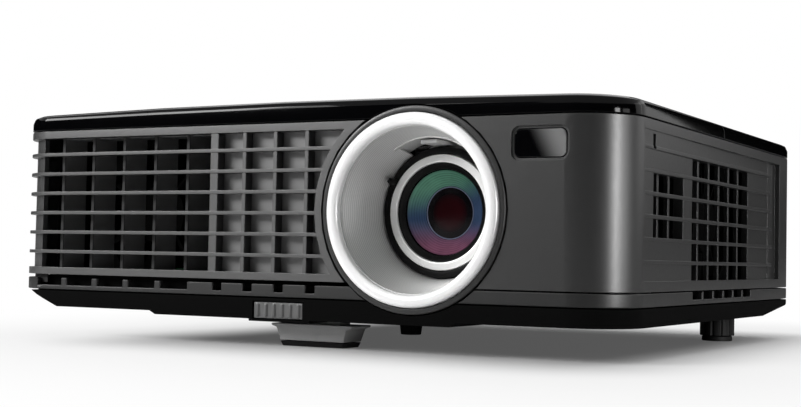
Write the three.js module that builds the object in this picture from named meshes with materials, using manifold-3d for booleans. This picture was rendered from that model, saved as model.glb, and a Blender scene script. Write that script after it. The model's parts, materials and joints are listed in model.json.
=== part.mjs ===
// Portable data projector, in millimetres with +Z up. The lens looks along -Y,
// +X is to the right as seen from the front, and z = 0 is what the feet stand on.
import * as THREE from 'three';
import { mergeVertices } from 'three/addons/utils/BufferGeometryUtils.js';
import Module from 'manifold-3d';

const wasm = await Module();
wasm.setup();

// Whole case
const caseWidth = 286;
const caseDepth = 240;
const caseHeight = 97;
const crownDrop = 2;
const wall = 2.4;
const frontLeftCorner = 20;
const frontRightCorner = 22;
const rearCorner = 15;

// Clearances
const fit = 0.3;
const seam = 0.5;
const overrun = 1;

// Heights of the parting lines above the floor
const trayTop = 19.4;
const bandTop = 24.9;
const coverHeight = 8.8;

// Top cover
const coverEdgeRadius = 3;
const lampCoverWidth = 112;
const lampCoverDepth = 121;
const lampScrewInset = 14;
const lampScrewRadius = 3.5;
const lampScrewHeadHeight = 2.2;
const lampScrewShank = 1.6;
const lampScrewLength = 9;
const lampScrewSlotWidth = 1;
const lampScrewSlotDepth = 0.8;

// Front grille, with the arc frame that runs round the lens bezel
const lowestRibRise = 11.3;
const highestRibDrop = 10.15;
const ribCount = 6;
const ribThickness = 1.4;
const ribDepth = 5;
const topBarHeight = 3.1;
const bottomBarHeight = 3;
const grilleFoot = 1;
const arcFrameGap = 1.2;
const arcFrameThickness = 3.2;
const pillarSetback = 2.3;
const pillarWidth = 5.6;
const pillarFromCorner = 16.3;
const grilleWrap = 24;
const uprightPitch = 14.87;
const uprightCount = 4;
const firstUprightFromLens = 92.3;
const thickUpright = 3.7;
const thinUpright = 1.7;
const uprightSetback = 0.4;

// Louvre pack behind the grille
const louvrePitch = 17;
const louvreSlant = 1.5;
const louvreDepth = 12;
const louvreThickness = 1.5;
const louvreRail = 3;
const louvreGap = 0.4;
const firstLouvreFromPillar = 7.9;

// Ribbed sides
const sideRibStart = 15.5;
const sideRibEnd = 41.5;
const sideTaper = 2.3;
const rearChannelWidth = 13;
const sideGrooveTop = 3.2;
const sideGrooveBottom = 3.2;

// Side vents: the main group and the small group in front of it
const mainVentFromFront = 78.7;
const mainVentPitch = 14.3;
const mainVentCount = 6;
const mainVentRows = 6;
const smallVentFromFront = 31.3;
const smallVentPitch = 12.6;
const smallVentCount = 3;
const smallVentFirstRow = 2;
const smallVentRows = 3;
const ventBar = 2;
const bandSlotDepth = 3.1;
const bandSlotBar = 3;
const bandNotchWidth = 4.4;

// Security slot in the right side
const lockSlotFromFront = 32;
const lockSlotWidth = 3;
const lockSlotHeight = 5.4;
const lockSlotDrop = 5;

// Lens nest, all round one axis
const lensFromRight = 83.4;
const lensDrop = 2.45;
const bezelOverlap = 7.35;
const bezelFace = 2.5;
const bezelProud = 1;
const bezelDepth = 9;
const chromeWidth = 6.7;
const chromeProud = 3;
const chromeDepth = 5;
const coneSlope = 4;
const coneDepth = 19.5;
const coneWall = 1.6;
const focusRingWall = 2.9;
const focusRingLength = 9;
const focusRingSetback = 1.2;
const focusTabWidth = 2.6;
const focusTabLength = 4;
const focusTabAngle = 150;
const trimWall = 3.3;
const trimSetback = 1.5;
const trimLength = 14;
const frontGlassRim = 1.8;
const frontGlassSetback = 5.5;
const frontGlassDome = 3.4;
const frontGlassThickness = 3;
const zoomRingLength = 8;
const zoomTabAngle = 92;
const zoomSweep = 20;
const focusTravel = 1.5;
const zoomTabWidth = 7;
const zoomTabReach = 7;
const zoomTabThickness = 1.4;
const barrelInset = 3.9;
const barrelWall = 1.6;
const barrelFlangeWidth = 7;
const barrelFlangeThickness = 3;
const zoomCellLength = 12;
const zoomCellWall = 2.2;
const zoomCellInset = 9;

// Infrared window in the front right panel
const irFromRight = 31.8;
const irDrop = 10.2;
const irWidth = 20;
const irTall = 10;
const irRadius = 2;
const irThickness = 2;
const irFrame = 1.3;
const irFrameDepth = 0.9;

// Bottom tray
const trayFloor = 12.6;
const platformDrop = 1.5;
const platformLeft = -61;
const platformRight = 76;
const platformSlope = 3;
const leftChamferWidth = 28;
const leftChamferFoot = 11;
const rearChamferWidth = 56;
const tongueHeight = 2;
const tongueThickness = 1.2;
const bossTop = 10.5;
const bossHeight = 4.5;
const bossRadius = 5;
const bossTaper = 1;
const bossBore = 1.65;
const frontBossX = 43.5;
const frontBossFromFront = 30;
const rearBossX = 70;
const rearBossFromRear = 62;

// Elevator foot under the front, its guide and its release button
const footX = 6.5;
const footFromFront = 14.2;
const footWidth = 33;
const footDepth = 15;
const footTaper = 1.5;
const footHeight = 9;
const footPadHeight = 2;
const footFlange = 2.5;
const footFlangeHeight = 1.6;
const legWidth = 20;
const legDepth = 8;
const legHeight = 58;
const legRackPitch = 4;
const legRackDepth = 1;
const footTravel = 38;
const guideWall = 2;
const guideHeight = 16;
const buttonWidth = 23;
const buttonHeight = 6.4;
const buttonBottom = 11.4;
const buttonDepth = 11;
const buttonX = 0;
const buttonGrips = 6;
const buttonGripWidth = 1.4;
const buttonGripDepth = 0.6;
const housingWall = 1.8;
const housingRight = 3.4;

// Rear feet
const rearFootFromSide = 23.5;
const rearFootFromRear = 50;
const rearFootRadius = 8;
const rearPadHeight = 2.2;
const wheelHeight = 8.2;
const wheelFlutes = 12;
const wheelFluteRadius = 0.9;
const studRadius = 3;
const studLength = 22;
const studBossWall = 2;
const studBossHeight = 14;

// Keypad in the top cover
const keypadFromLampCover = 61;
const keypadY = 26;
const keypadWidth = 92;
const keypadDepth = 46;
const keypadCorner = 12;
const keypadSunk = 1.2;
const keypadThickness = 2;
const keyTravel = 0.8;
const keyProud = 1;
const keyDepthBelow = 1.4;
const keySize = 10;
const keyCorner = 3;
const keyBevel = 0.4;
const arrowOffset = 13;
const enterRadius = 5.5;
const powerRadius = 6;
const powerFromLeft = 14;
const menuFromRight = 13;
const menuSpread = 9;
const lightLength = 10;
const lightWidth = 2.4;
const lightFromPower = 12;
const lightProud = 0.3;

// Rear panel with its sunk bay for the sockets
const bayFromLeft = 59;
const bayWidth = 106;
const bayBottom = 29;
const bayTop = 52;
const bayDepth = 9;
const bayWall = 2;
const socketBehind = 8;
const socketFloor = 32;
const socketWall = 1;
const usbWidth = 8.6;
const usbHeight = 4.4;
const hdmiWidth = 15;
const hdmiHeight = 6.2;
const vgaWidth = 30.8;
const vgaHeight = 12.4;
const vgaShellWidth = 17;
const vgaShellHeight = 8.4;
const vgaHollow = 5.6;
const vgaNutRadius = 2.4;
const vgaNutSpread = 12.4;
const vgaNutLength = 4;
const dinRadius = 6;
const dinHollow = 4.6;
const dinPost = 1.2;
const rcaFlangeRadius = 5.2;
const rcaRadius = 4.1;
const rcaBore = 1.6;
const rcaLength = 7.5;
const audioRadius = 4;
const audioBore = 1.8;
const socketHollow = 6;

// Power inlet, low on the left of the rear panel
const inletFromLeft = 36;
const inletZ = 41;
const inletWidth = 30;
const inletHeight = 22;
const inletCorner = 2;
const inletFlange = 2;
const inletMouthWidth = 24;
const inletMouthHeight = 16.4;
const inletMouthDepth = 15;
const inletBodyDepth = 20;
const inletWall = 1.8;
const pinWidth = 4;
const pinThickness = 2;
const pinLength = 10;
const pinSpread = 7;
const pinRise = 2;

// Light engine and what it carries
const engineFromLens = 31.6;
const engineFromSide = 27;
const engineFromFront = 58;
const engineDepth = 52;
const engineBottom = 24;
const engineHeadroom = 6.2;
const engineStep = 18;
const engineStepDepth = 22;
const engineFoot = 8;
const sinkWidth = 32;
const sinkDrop = 10;
const sinkBase = 4;
const sinkFin = 18;
const sinkFins = 8;
const sinkFinThickness = 1.6;
const lampAxisFromSide = 59;
const lampAxisDrop = 0.5;
const wheelDiscRadius = 20;
const wheelHeadroom = 2.2;
const wheelHubRadius = 8;
const wheelThickness = 1;
const wheelHubLength = 3;
const motorRadius = 9;
const motorLength = 9;

// Lamp module
const lampWidth = 58;
const lampHeadroom = 4.7;
const lampDepthShare = 0.544;
const lampFromRear = 16;
const lampBottom = 21.5;
const lampCornerRadius = 5;
const lampHandleReach = 22;
const lampHandleRise = 5;
const lampHandleRadius = 1.4;
const reflectorMargin = 6;
const reflectorThickness = 2;
const reflectorDepthShare = 0.42;
const reflectorNeck = 6;
const reflectorNeckLength = 12;
const burnerRadius = 2.4;
const burnerShare = 0.6;

// Exhaust fan behind the louvres and intake fan behind the right vents
const exhaustHeadroom = 11.6;
const exhaustThickness = 15;
const exhaustFromLeft = 65;
const exhaustFromFront = 22;
const intakeSmaller = 4;
const intakeThickness = 15;
const intakeFromFront = 121;
const intakeFromSide = 7.5;
const fanRise = 2.6;
const fanRim = 2;
const fanCorner = 5;
const fanTipGap = 1;
const fanHubRadius = 13;
const fanMotorGap = 0.8;
const fanStrut = 3;
const fanStrutDepth = 2;
const fanBlades = 7;
const fanBladeThickness = 1.2;
const fanBladePitch = 34;
const fanShaftRadius = 1.5;

// Boards
const boardThickness = 1.6;
const boardHeight = 28;
const mainBoardPastBay = 3;
const mainBoardFromRear = 106.5;
const powerBoardFromLeft = 31;
const powerBoardWidth = 84;
const powerBoardFromFront = 46.5;
const boardGap = 7;
const postWidth = 5;
const postInset = 7;
const chipSize = 27;
const chipHeight = 3;
const coilSize = 24;
const coilHeight = 20;
const capacitorRadius = 9;
const capacitorHeight = 24;

// Places that follow from the sizes above
const halfWidth = caseWidth / 2;
const frontY = -(caseDepth - chromeProud) / 2;
const rearY = frontY + caseDepth;
const bandBottom = trayTop + seam;
const panelBottom = bandTop + seam;
const panelTop = caseHeight - coverHeight;
const coverBottom = panelTop + seam;
const halfRib = ribThickness / 2;
const sideInset = Math.max(sideTaper, pillarSetback);
const lowestRib = bandTop + lowestRibRise;
const ribPitch = (panelTop - highestRibDrop - lowestRib) / (ribCount - 1);

// Places and radii of the lens nest
const lensX = halfWidth - lensFromRight;
const lensZ = (bandTop + panelTop) / 2 - lensDrop;
const bezelOuter = (panelTop - bandTop) / 2 + bezelOverlap;
const firstUpright = lensX - firstUprightFromLens;
const pillarX = -halfWidth + pillarFromCorner;
const firstLouvre = pillarX + firstLouvreFromPillar;
const louvreCount = Math.floor((firstUpright - firstLouvre) / louvrePitch);
const arcFrameInner = bezelOuter + arcFrameGap;
const arcFrameOuter = arcFrameInner + arcFrameThickness;
const chromeOuter = bezelOuter - bezelFace;
const chromeInner = chromeOuter - chromeWidth;
const coneThroat = chromeInner - coneSlope;
const focusRingInner = coneThroat - focusRingWall;
const trimInner = focusRingInner - trimWall;
const frontGlassRadius = trimInner - frontGlassRim;
const barrelOuter = focusRingInner - barrelInset;
const barrelFlange = barrelOuter + barrelFlangeWidth;

// Places on the top, the rear and the underside
const keypadX = halfWidth - lampCoverWidth - keypadFromLampCover;
const bayLeft = -halfWidth + bayFromLeft;
const bayRight = bayLeft + bayWidth;
const inletX = -halfWidth + inletFromLeft;
const rearFootX = halfWidth - rearFootFromSide;

// Places inside
const engineLeft = lensX - engineFromLens;
const engineRight = halfWidth - engineFromSide;
const engineTop = panelTop - engineHeadroom;
const sinkHeight = engineTop - sinkDrop - engineBottom;
const engineFrontY = frontY + engineFromFront;
const engineRearY = engineFrontY + engineDepth;
const lampAxisX = halfWidth - lampAxisFromSide;
const lampHeight = panelTop - lampHeadroom - lampBottom;
const lampAxisZ = lampBottom + lampHeight / 2 - lampAxisDrop;
const lampDepth = (rearY - lampFromRear - engineRearY) * lampDepthShare;
const reflectorRadius = lampHeight / 2 - reflectorMargin;
const reflectorDepth = lampDepth * reflectorDepthShare;
const burnerReach = reflectorDepth * burnerShare;
const wheelZ = panelTop - wheelHeadroom - wheelDiscRadius;
const fanZ = (trayFloor + panelTop) / 2 + fanRise;
const exhaustSize = panelTop - trayFloor - exhaustHeadroom;
const intakeSize = exhaustSize - intakeSmaller;
const exhaustX = -halfWidth + exhaustFromLeft;
const mainBoardLeft = bayLeft - mainBoardPastBay;
const mainBoardRight = bayRight + mainBoardPastBay;
const mainBoardFront = rearY - mainBoardFromRear;
const powerBoardLeft = -halfWidth + powerBoardFromLeft;
const powerBoardRight = powerBoardLeft + powerBoardWidth;
const powerBoardFront = frontY + powerBoardFromFront;
const powerBoardRear = mainBoardFront - boardGap;

// Finishes
const finish = (color, roughness, metalness) =>
  new THREE.MeshStandardMaterial({ color, roughness, metalness });
const greyPlastic = finish(0x4b4c4e, 0.42, 0.1);
const blackGloss = finish(0x0a0a0b, 0.12, 0);
const blackPlastic = finish(0x1c1c1d, 0.55, 0);
const darkPlastic = finish(0x101011, 0.7, 0);
const chromePlate = finish(0xf2f2f0, 0.18, 1);
const satinSilver = finish(0xb8b8b6, 0.35, 0.9);
const lensGlass = finish(0x243046, 0.05, 0.1);
const smokedWindow = finish(0x050505, 0.08, 0);
const castMetal = finish(0x9a9c9e, 0.5, 0.9);
const rubber = finish(0x0c0c0c, 0.9, 0);
const boardGreen = finish(0x1f5a32, 0.6, 0);
const socketSteel = finish(0xa8aaad, 0.35, 1);
const audioGreen = finish(0x2f8f3a, 0.5, 0);
const socketBlue = finish(0x3b6fb0, 0.5, 0);
const videoYellow = finish(0xd9b21c, 0.5, 0);
const ceramic = finish(0xe6e3da, 0.8, 0);
const mirrorCoat = finish(0xdfe4ea, 0.1, 1);
const lightBar = finish(0x8fb6d8, 0.3, 0);

// Turns a geometry into a closed solid whose faces point outwards.
function solid(geometry) {
  const bare = geometry.clone();
  bare.deleteAttribute('normal');
  bare.deleteAttribute('uv');
  const merged = mergeVertices(bare);
  const corners = merged.attributes.position.array;
  const kept = [];
  const a = new THREE.Vector3();
  const b = new THREE.Vector3();
  const c = new THREE.Vector3();
  let volume = 0;
  for (let i = 0; i < merged.index.count; i += 3) {
    const trio = [0, 1, 2].map((step) => merged.index.getX(i + step));
    if (new Set(trio).size < trio.length) continue;
    kept.push(trio);
    [a, b, c].forEach((corner, step) => corner.fromArray(corners, 3 * trio[step]));
    volume += a.dot(b.cross(c));
  }
  const turned = kept.map(([i, j, k]) => (volume < 0 ? [i, k, j] : [i, j, k]));
  const mesh = new wasm.Mesh({
    numProp: 3,
    vertProperties: new Float32Array(corners),
    triVerts: new Uint32Array(turned.flat()),
  });
  return new wasm.Manifold(mesh);
}

// Gives a solid back as a geometry.
function geometryOf(body) {
  const mesh = body.getMesh();
  const geometry = new THREE.BufferGeometry();
  geometry.setAttribute('position', new THREE.BufferAttribute(mesh.vertProperties, mesh.numProp));
  geometry.setIndex(new THREE.BufferAttribute(mesh.triVerts, 1));
  geometry.computeVertexNormals();
  return geometry;
}

const join = (bodies) => bodies.reduce((whole, body) => whole.add(body));
const cut = (body, cutters) => cutters.reduce((left, cutter) => left.subtract(cutter), body);
const span = (count) => Array.from({ length: count }, (_, index) => index);
const radians = THREE.MathUtils.degToRad;

// Frames in which a flat outline is drawn before it is carried along X, Y or Z.
const drawnAcross = {
  x: new THREE.Matrix4().makeBasis(
    new THREE.Vector3(0, 1, 0), new THREE.Vector3(0, 0, 1), new THREE.Vector3(1, 0, 0)),
  y: new THREE.Matrix4().makeBasis(
    new THREE.Vector3(1, 0, 0), new THREE.Vector3(0, 0, 1), new THREE.Vector3(0, -1, 0)),
  z: new THREE.Matrix4(),
};

// Carries an outline along an axis from one coordinate to another. Outlines carried
// along X hold (y, z), along Y (x, z) and along Z (x, y).
function carry(shape, axis, from, to, curveSegments = 2) {
  const geometry = new THREE.ExtrudeGeometry(shape, {
    depth: to - from, bevelEnabled: false, curveSegments,
  });
  geometry.applyMatrix4(drawnAcross[axis]);
  const shift = { x: [from, 0, 0], y: [0, to, 0], z: [0, 0, from] }[axis];
  geometry.translate(...shift);
  return solid(geometry);
}

// A block between two corners.
function block(x0, x1, y0, y1, z0, z1) {
  const geometry = new THREE.BoxGeometry(x1 - x0, y1 - y0, z1 - z0);
  geometry.translate((x0 + x1) / 2, (y0 + y1) / 2, (z0 + z1) / 2);
  return solid(geometry);
}

// A straight-sided outline through the given points.
function polygon(points) {
  return new THREE.Shape(points.map(([u, v]) => new THREE.Vector2(u, v)));
}

// A rectangle with round corners about a centre.
function roundedPlate(u, v, width, height, radius) {
  const shape = new THREE.Shape();
  const r = Math.min(radius, width / 2, height / 2);
  const reach = [width / 2 - r, height / 2 - r];
  const corners = [[1, -1], [1, 1], [-1, 1], [-1, -1]];
  corners.forEach(([su, sv], index) => {
    const start = (index - 1) * Math.PI / 2;
    shape.absarc(u + su * reach[0], v + sv * reach[1], r, start, start + Math.PI / 2);
  });
  return shape;
}

// A round disc outline.
function disc(u, v, radius) {
  const shape = new THREE.Shape();
  shape.absarc(u, v, radius, 0, 2 * Math.PI);
  return shape;
}

// A round bar along an axis.
function bar(axis, u, v, radius, from, to, segments = 6) {
  return carry(disc(u, v, radius), axis, from, to, segments);
}

// Revolves a closed profile of (radius, y) points about the lens axis.
function turned(points, segments = 32, axisX = lensX, axisZ = lensZ) {
  const profile = points.map(([radius, y]) => new THREE.Vector2(radius, y));
  const geometry = new THREE.LatheGeometry([...profile, profile[0].clone()], segments);
  geometry.translate(axisX, 0, axisZ);
  return solid(geometry);
}

// Joins rings of equally many points with sides and closes both ends with a fan.
function loft(rings) {
  const count = rings[0].length;
  const positions = rings.flat().flatMap((point) => [point.x, point.y, point.z]);
  const index = [];
  for (let ring = 0; ring < rings.length - 1; ring += 1) {
    for (let i = 0; i < count; i += 1) {
      const a = ring * count + i;
      const b = ring * count + (i + 1) % count;
      index.push(a, b, b + count, a, b + count, a + count);
    }
  }
  const first = rings[0];
  const last = rings[rings.length - 1];
  [first, last].forEach((ring, end) => {
    const centre = ring.reduce((sum, point) => sum.clone().add(point), new THREE.Vector3());
    centre.divideScalar(count);
    const hub = positions.length / 3;
    positions.push(centre.x, centre.y, centre.z);
    const start = end * (rings.length - 1) * count;
    for (let i = 0; i < count; i += 1) {
      const a = start + i;
      const b = start + (i + 1) % count;
      index.push(...(end ? [hub, a, b] : [hub, b, a]));
    }
  });
  const geometry = new THREE.BufferGeometry();
  geometry.setAttribute('position', new THREE.Float32BufferAttribute(positions, 3));
  geometry.setIndex(index);
  return solid(geometry);
}

const projector = new THREE.Group();

// Adds one piece under its own name.
function add(name, body, material) {
  const mesh = new THREE.Mesh(geometryOf(body), material);
  mesh.name = name;
  projector.add(mesh);
}

// Half the number of facets in each arc of the case's upright corners.
const cornerSteps = 2;

// The case seen from above, drawn in from its outer face: four corners of their own radii.
function casePlan(inset) {
  const least = fit;
  const corners = [
    [1, frontY, -1, frontRightCorner, 2], [1, rearY, 1, rearCorner, 1],
    [-1, rearY, 1, rearCorner, 1], [-1, frontY, -1, frontLeftCorner, 2],
  ];
  const shape = new THREE.Shape();
  corners.forEach(([side, y, outward, radius, arcs], index) => {
    const r = Math.max(radius - inset, least);
    const sweep = Math.PI / 2 / arcs;
    span(arcs).forEach((arc) => {
      const start = (index - 1) * Math.PI / 2 + arc * sweep;
      shape.absarc(side * (halfWidth - inset - r), y - outward * (inset + r), r,
        start, start + sweep);
    });
  });
  return shape;
}

// A wall that follows the case's plan between two insets and two heights.
function caseWall(outerInset, innerInset, bottom, top) {
  const outer = carry(casePlan(outerInset), 'z', bottom, top, cornerSteps);
  return outer.subtract(carry(casePlan(innerInset), 'z', bottom - overrun, top + overrun,
    cornerSteps));
}

// The plan as one ring of points whose straight sides are divided, for the crowned cover.
function planRing(inset, share, height) {
  const straightSteps = 4;
  const longest = Math.max(frontRightCorner, rearCorner);
  const points = casePlan(inset).getPoints(cornerSteps);
  const ring = [];
  points.forEach((point, index) => {
    const next = points[(index + 1) % points.length];
    const straight = point.distanceTo(next) > longest;
    const steps = straight ? straightSteps : 1;
    span(steps).forEach((step) => ring.push(point.clone().lerp(next, step / steps)));
  });
  const middle = (frontY + rearY) / 2;
  return ring.map(({ x, y }) => {
    const placedX = x * share;
    const placedY = middle + (y - middle) * share;
    return new THREE.Vector3(placedX, placedY, height(placedX));
  });
}

// The crown of the cover: an arc from side to side.
const crown = (x) => caseHeight - crownDrop * (x / halfWidth) ** 2;

// Clears the round bezel out of whatever it passes through.
const bezelClearance = () => turned([
  [0, frontY - overrun], [bezelOuter + seam, frontY - overrun],
  [bezelOuter + seam, frontY + bezelDepth + fit], [0, frontY + bezelDepth + fit],
]);

// Top cover and lamp cover: one crowned shell, parted by a seam.
function makeCovers() {
  const bevelSteps = 2;
  const interiorShares = [0.5];
  const edge = span(bevelSteps + 1).map((step) => {
    const angle = (step / bevelSteps) * Math.PI / 2;
    const inset = coverEdgeRadius * (1 - Math.cos(angle));
    const drop = coverEdgeRadius * (1 - Math.sin(angle));
    return planRing(inset, 1, (x) => crown(x) - drop);
  });
  const outer = loft([
    planRing(0, 1, () => coverBottom), ...edge,
    ...interiorShares.map((share) => planRing(coverEdgeRadius, share, crown)),
  ]);
  const under = (x) => crown(x) - wall;
  const inner = loft([
    planRing(wall, 1, () => coverBottom - overrun), planRing(wall, 1, under),
    ...interiorShares.map((share) => planRing(wall, share, under)),
  ]);
  const shell = outer.subtract(inner);
  const left = halfWidth - lampCoverWidth;
  const front = rearY - lampCoverDepth;
  const lampRegion = (grow) => block(left - grow, halfWidth + overrun, front - grow,
    rearY + overrun, coverBottom - 2 * overrun, caseHeight + overrun);
  const keypadHole = carry(
    roundedPlate(keypadX, keypadY, keypadWidth + 2 * fit, keypadDepth + 2 * fit, keypadCorner),
    'z', coverBottom, caseHeight + overrun);
  add('top_cover', cut(shell, [lampRegion(seam), bezelClearance(), keypadHole]), blackGloss);

  const screwX = halfWidth - lampScrewInset;
  const screwY = rearY - lampScrewInset;
  const headTop = crown(screwX + lampScrewRadius) - fit;
  const headBottom = headTop - lampScrewHeadHeight;
  const screwSeat = bar('z', screwX, screwY, lampScrewRadius + fit, headBottom - fit,
    caseHeight + overrun);
  const shankHole = bar('z', screwX, screwY, lampScrewShank + fit, coverBottom, caseHeight);
  const seatBoss = bar('z', screwX, screwY, lampScrewRadius + wall,
    headBottom - fit - wall / 2, under(screwX) + wall / 2);
  const lampCover = shell.intersect(lampRegion(0)).add(seatBoss);
  add('lamp_cover', cut(lampCover, [screwSeat, shankHole]), blackGloss);

  const screw = join([
    bar('z', screwX, screwY, lampScrewRadius, headBottom, headTop, 6),
    bar('z', screwX, screwY, lampScrewShank, headBottom - lampScrewLength,
      headBottom + overrun / 2, 3),
  ]);
  const slot = block(screwX - lampScrewRadius - overrun, screwX + lampScrewRadius + overrun,
    screwY - lampScrewSlotWidth / 2, screwY + lampScrewSlotWidth / 2,
    headTop - lampScrewSlotDepth, headTop + overrun);
  add('lamp_cover_screw', screw.subtract(slot), socketSteel);
}

const ribHeights = span(ribCount).map((index) => lowestRib + index * ribPitch);
const grilleBottom = panelBottom + grilleFoot;
const grilleBars = [
  [panelTop - topBarHeight, panelTop],
  [grilleBottom, grilleBottom + bottomBarHeight],
];

// Front grille: ribs and bars that follow the case round its left corner, uprights
// behind them, and the arc frame concentric with the lens.
function makeGrille() {
  const rearLine = frontY + grilleWrap;
  const keepLeft = block(-halfWidth - overrun, lensX, frontY - overrun, rearLine, 0, caseHeight);
  const bands = [
    ...ribHeights.map((z) => [z - halfRib, z + halfRib]),
    ...grilleBars,
  ].map(([bottom, top]) => caseWall(0, ribDepth, bottom, top).intersect(keepLeft));
  const pillar = caseWall(pillarSetback, pillarSetback + wall, grilleBottom + fit, panelTop - fit)
    .intersect(block(-halfWidth, pillarX, frontY, rearLine, 0, caseHeight));
  const rimPost = caseWall(pillarSetback, ribDepth, grilleBottom + fit, panelTop - fit)
    .intersect(block(pillarX - pillarWidth, pillarX, frontY, rearLine, 0, caseHeight));
  const uprights = span(uprightCount).map((index) => {
    const width = index === 0 ? thickUpright : thinUpright;
    const x = firstUpright + index * uprightPitch;
    return block(x - width / 2, x + width / 2, frontY + uprightSetback, frontY + ribDepth,
      grilleBottom + fit, panelTop - fit);
  });
  const lensSide = turned([
    [0, frontY - overrun], [arcFrameInner + halfRib, frontY - overrun],
    [arcFrameInner + halfRib, frontY + ribDepth + overrun],
    [0, frontY + ribDepth + overrun],
  ]);
  const arc = turned([
    [arcFrameInner, frontY], [arcFrameOuter, frontY],
    [arcFrameOuter, frontY + ribDepth], [arcFrameInner, frontY + ribDepth],
  ]).intersect(block(0, lensX, frontY - overrun, rearLine, grilleBottom, panelTop));
  const open = join([...bands, pillar, rimPost, ...uprights]).subtract(lensSide);
  add('front_grille', open.add(arc), greyPlastic);
}

// Louvres: slanted blades that turn the warm air away from the lens, between two rails,
// and the plate that closes the rest of the grille towards the lens.
function makeLouvres() {
  const front = frontY + ribDepth + louvreGap;
  const back = front + louvreDepth;
  const places = span(louvreCount).map((index) => firstLouvre + index * louvrePitch);
  const bottom = grilleBottom;
  const top = panelTop - fit;
  const blades = places.map((x) => carry(polygon([
    [x, front], [x + louvreThickness, front],
    [x + louvreThickness + louvreSlant, back], [x + louvreSlant, back],
  ]), 'z', bottom, top));
  const left = firstLouvre;
  const right = firstUpright;
  const plate = block(firstUpright - thickUpright / 2, lensX, front, front + louvreThickness,
    bottom, top);
  const rails = [[bottom, bottom + louvreRail], [top - louvreRail, top]].map(([low, high]) =>
    block(left, right, front + louvreThickness, back, low, high));
  const round = turned([
    [0, front - overrun], [arcFrameOuter + fit, front - overrun],
    [arcFrameOuter + fit, back + overrun], [0, back + overrun],
  ]);
  add('exhaust_louvres', join([...blades, ...rails, plate]).subtract(round), darkPlastic);
}

// Edges of the ribbed spaces on a side, from the groove under the cover downwards.
const sideSpaces = [
  panelBottom + sideGrooveBottom,
  ...ribHeights,
  panelTop - sideGrooveTop,
];

// Cuts the spaces between the ribs of one side. The wall falls back from one depth at
// the front to another at the rear, while the ribs stay out at the full width.
function sideCutters(side, frontDepth) {
  const start = frontY + sideRibStart;
  const end = rearY - sideRibEnd;
  const x = side * halfWidth;
  const out = x + side * overrun;
  const wedge = polygon([
    [out, start], [x - side * frontDepth, start], [x - side * sideTaper, end], [out, end],
  ]);
  const channel = polygon([
    [out, end - fit], [x - side * sideTaper, end - fit],
    [x - side * sideTaper, end + rearChannelWidth], [out, end + rearChannelWidth],
  ]);
  const spaces = sideSpaces.slice(1).map((top, index) =>
    carry(wedge, 'z', sideSpaces[index] + halfRib, top - halfRib));
  const rear = carry(channel, 'z', sideSpaces[0] + halfRib, panelTop - sideGrooveTop - halfRib);
  return [...spaces, rear];
}

// Vents of one side: a window through the wall for each group, crossed by the ribs in
// front and by upright bars behind them.
function ventParts(side, groups) {
  const face = side * halfWidth;
  const boxBetween = (x0, x1, y0, y1, z0, z1) =>
    block(Math.min(x0, x1), Math.max(x0, x1), y0, y1, z0, z1);
  const inner = face - side * (sideInset + wall);
  const barFront = inner + side * (wall - fit);
  const windows = [];
  const bars = [];
  groups.forEach(([fromFront, pitch, count, firstRow, rows]) => {
    const start = frontY + fromFront;
    const end = start + count * pitch - ventBar;
    const bottom = sideSpaces[firstRow] + halfRib;
    const top = sideSpaces[firstRow + rows] - halfRib;
    windows.push(boxBetween(inner - side * overrun, face + side * overrun, start, end, bottom, top));
    span(rows - 1).forEach((index) => {
      const z = sideSpaces[firstRow + index + 1];
      bars.push(boxBetween(barFront - side * fit, face, start - fit, end + fit,
        z - halfRib, z + halfRib));
    });
    span(count - 1).forEach((index) => {
      const y = start + (index + 1) * pitch - ventBar;
      bars.push(boxBetween(inner + side * fit, barFront, y, y + ventBar,
        bottom - fit, top + fit));
    });
  });
  return { windows, bars };
}

const mainVents = [mainVentFromFront, mainVentPitch, mainVentCount, 0, mainVentRows];
const smallVents = [smallVentFromFront, smallVentPitch, smallVentCount, smallVentFirstRow,
  smallVentRows];

// Right panel: smooth front, round corner and ribbed side in one moulding.
function makeRightPanel() {
  const shell = caseWall(0, sideInset + wall, panelBottom, panelTop);
  const region = block(lensX, halfWidth + overrun, frontY - overrun, rearY + overrun,
    0, caseHeight);
  const rearGap = block(lensX - overrun, halfWidth - rearCorner, rearY - bayDepth - 2 * wall,
    rearY + overrun, 0, caseHeight);
  const irX = halfWidth - irFromRight;
  const irZ = panelTop - irDrop;
  const window = (grow, radius, from, to) => carry(
    roundedPlate(irX, irZ, irWidth + 2 * grow, irTall + 2 * grow, radius), 'y', from, to);
  const lockY = frontY + lockSlotFromFront;
  const lockTop = panelTop - lockSlotDrop;
  const lockSlot = block(halfWidth - sideInset - wall - overrun, halfWidth + overrun,
    lockY - lockSlotWidth / 2, lockY + lockSlotWidth / 2, lockTop - lockSlotHeight, lockTop);
  const vents = ventParts(1, [mainVents, smallVents]);
  const panel = cut(shell.intersect(region), [
    bezelClearance(),
    window(irFrame, irRadius + irFrame, frontY - overrun, frontY + irFrameDepth),
    window(fit, irRadius + fit, frontY - overrun, frontY + sideInset + wall + overrun),
    ...sideCutters(1, 0), ...vents.windows, rearGap, lockSlot,
  ]);
  add('right_panel', join([panel, ...vents.bars]), greyPlastic);
  add('ir_window', window(0, irRadius, frontY + irFrameDepth / 2,
    frontY + irFrameDepth / 2 + irThickness), smokedWindow);
}

// Left panel: from the end of the grille back round the rear left corner.
function makeLeftPanel() {
  const shell = caseWall(0, sideInset + wall, panelBottom, panelTop);
  const region = block(-halfWidth - overrun, -halfWidth + rearCorner,
    frontY + grilleWrap + fit, rearY + overrun, 0, caseHeight);
  const vents = ventParts(-1, [mainVents]);
  const panel = cut(shell.intersect(region), [...sideCutters(-1, sideTaper), ...vents.windows]);
  add('left_panel', join([panel, ...vents.bars]), greyPlastic);
}

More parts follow.
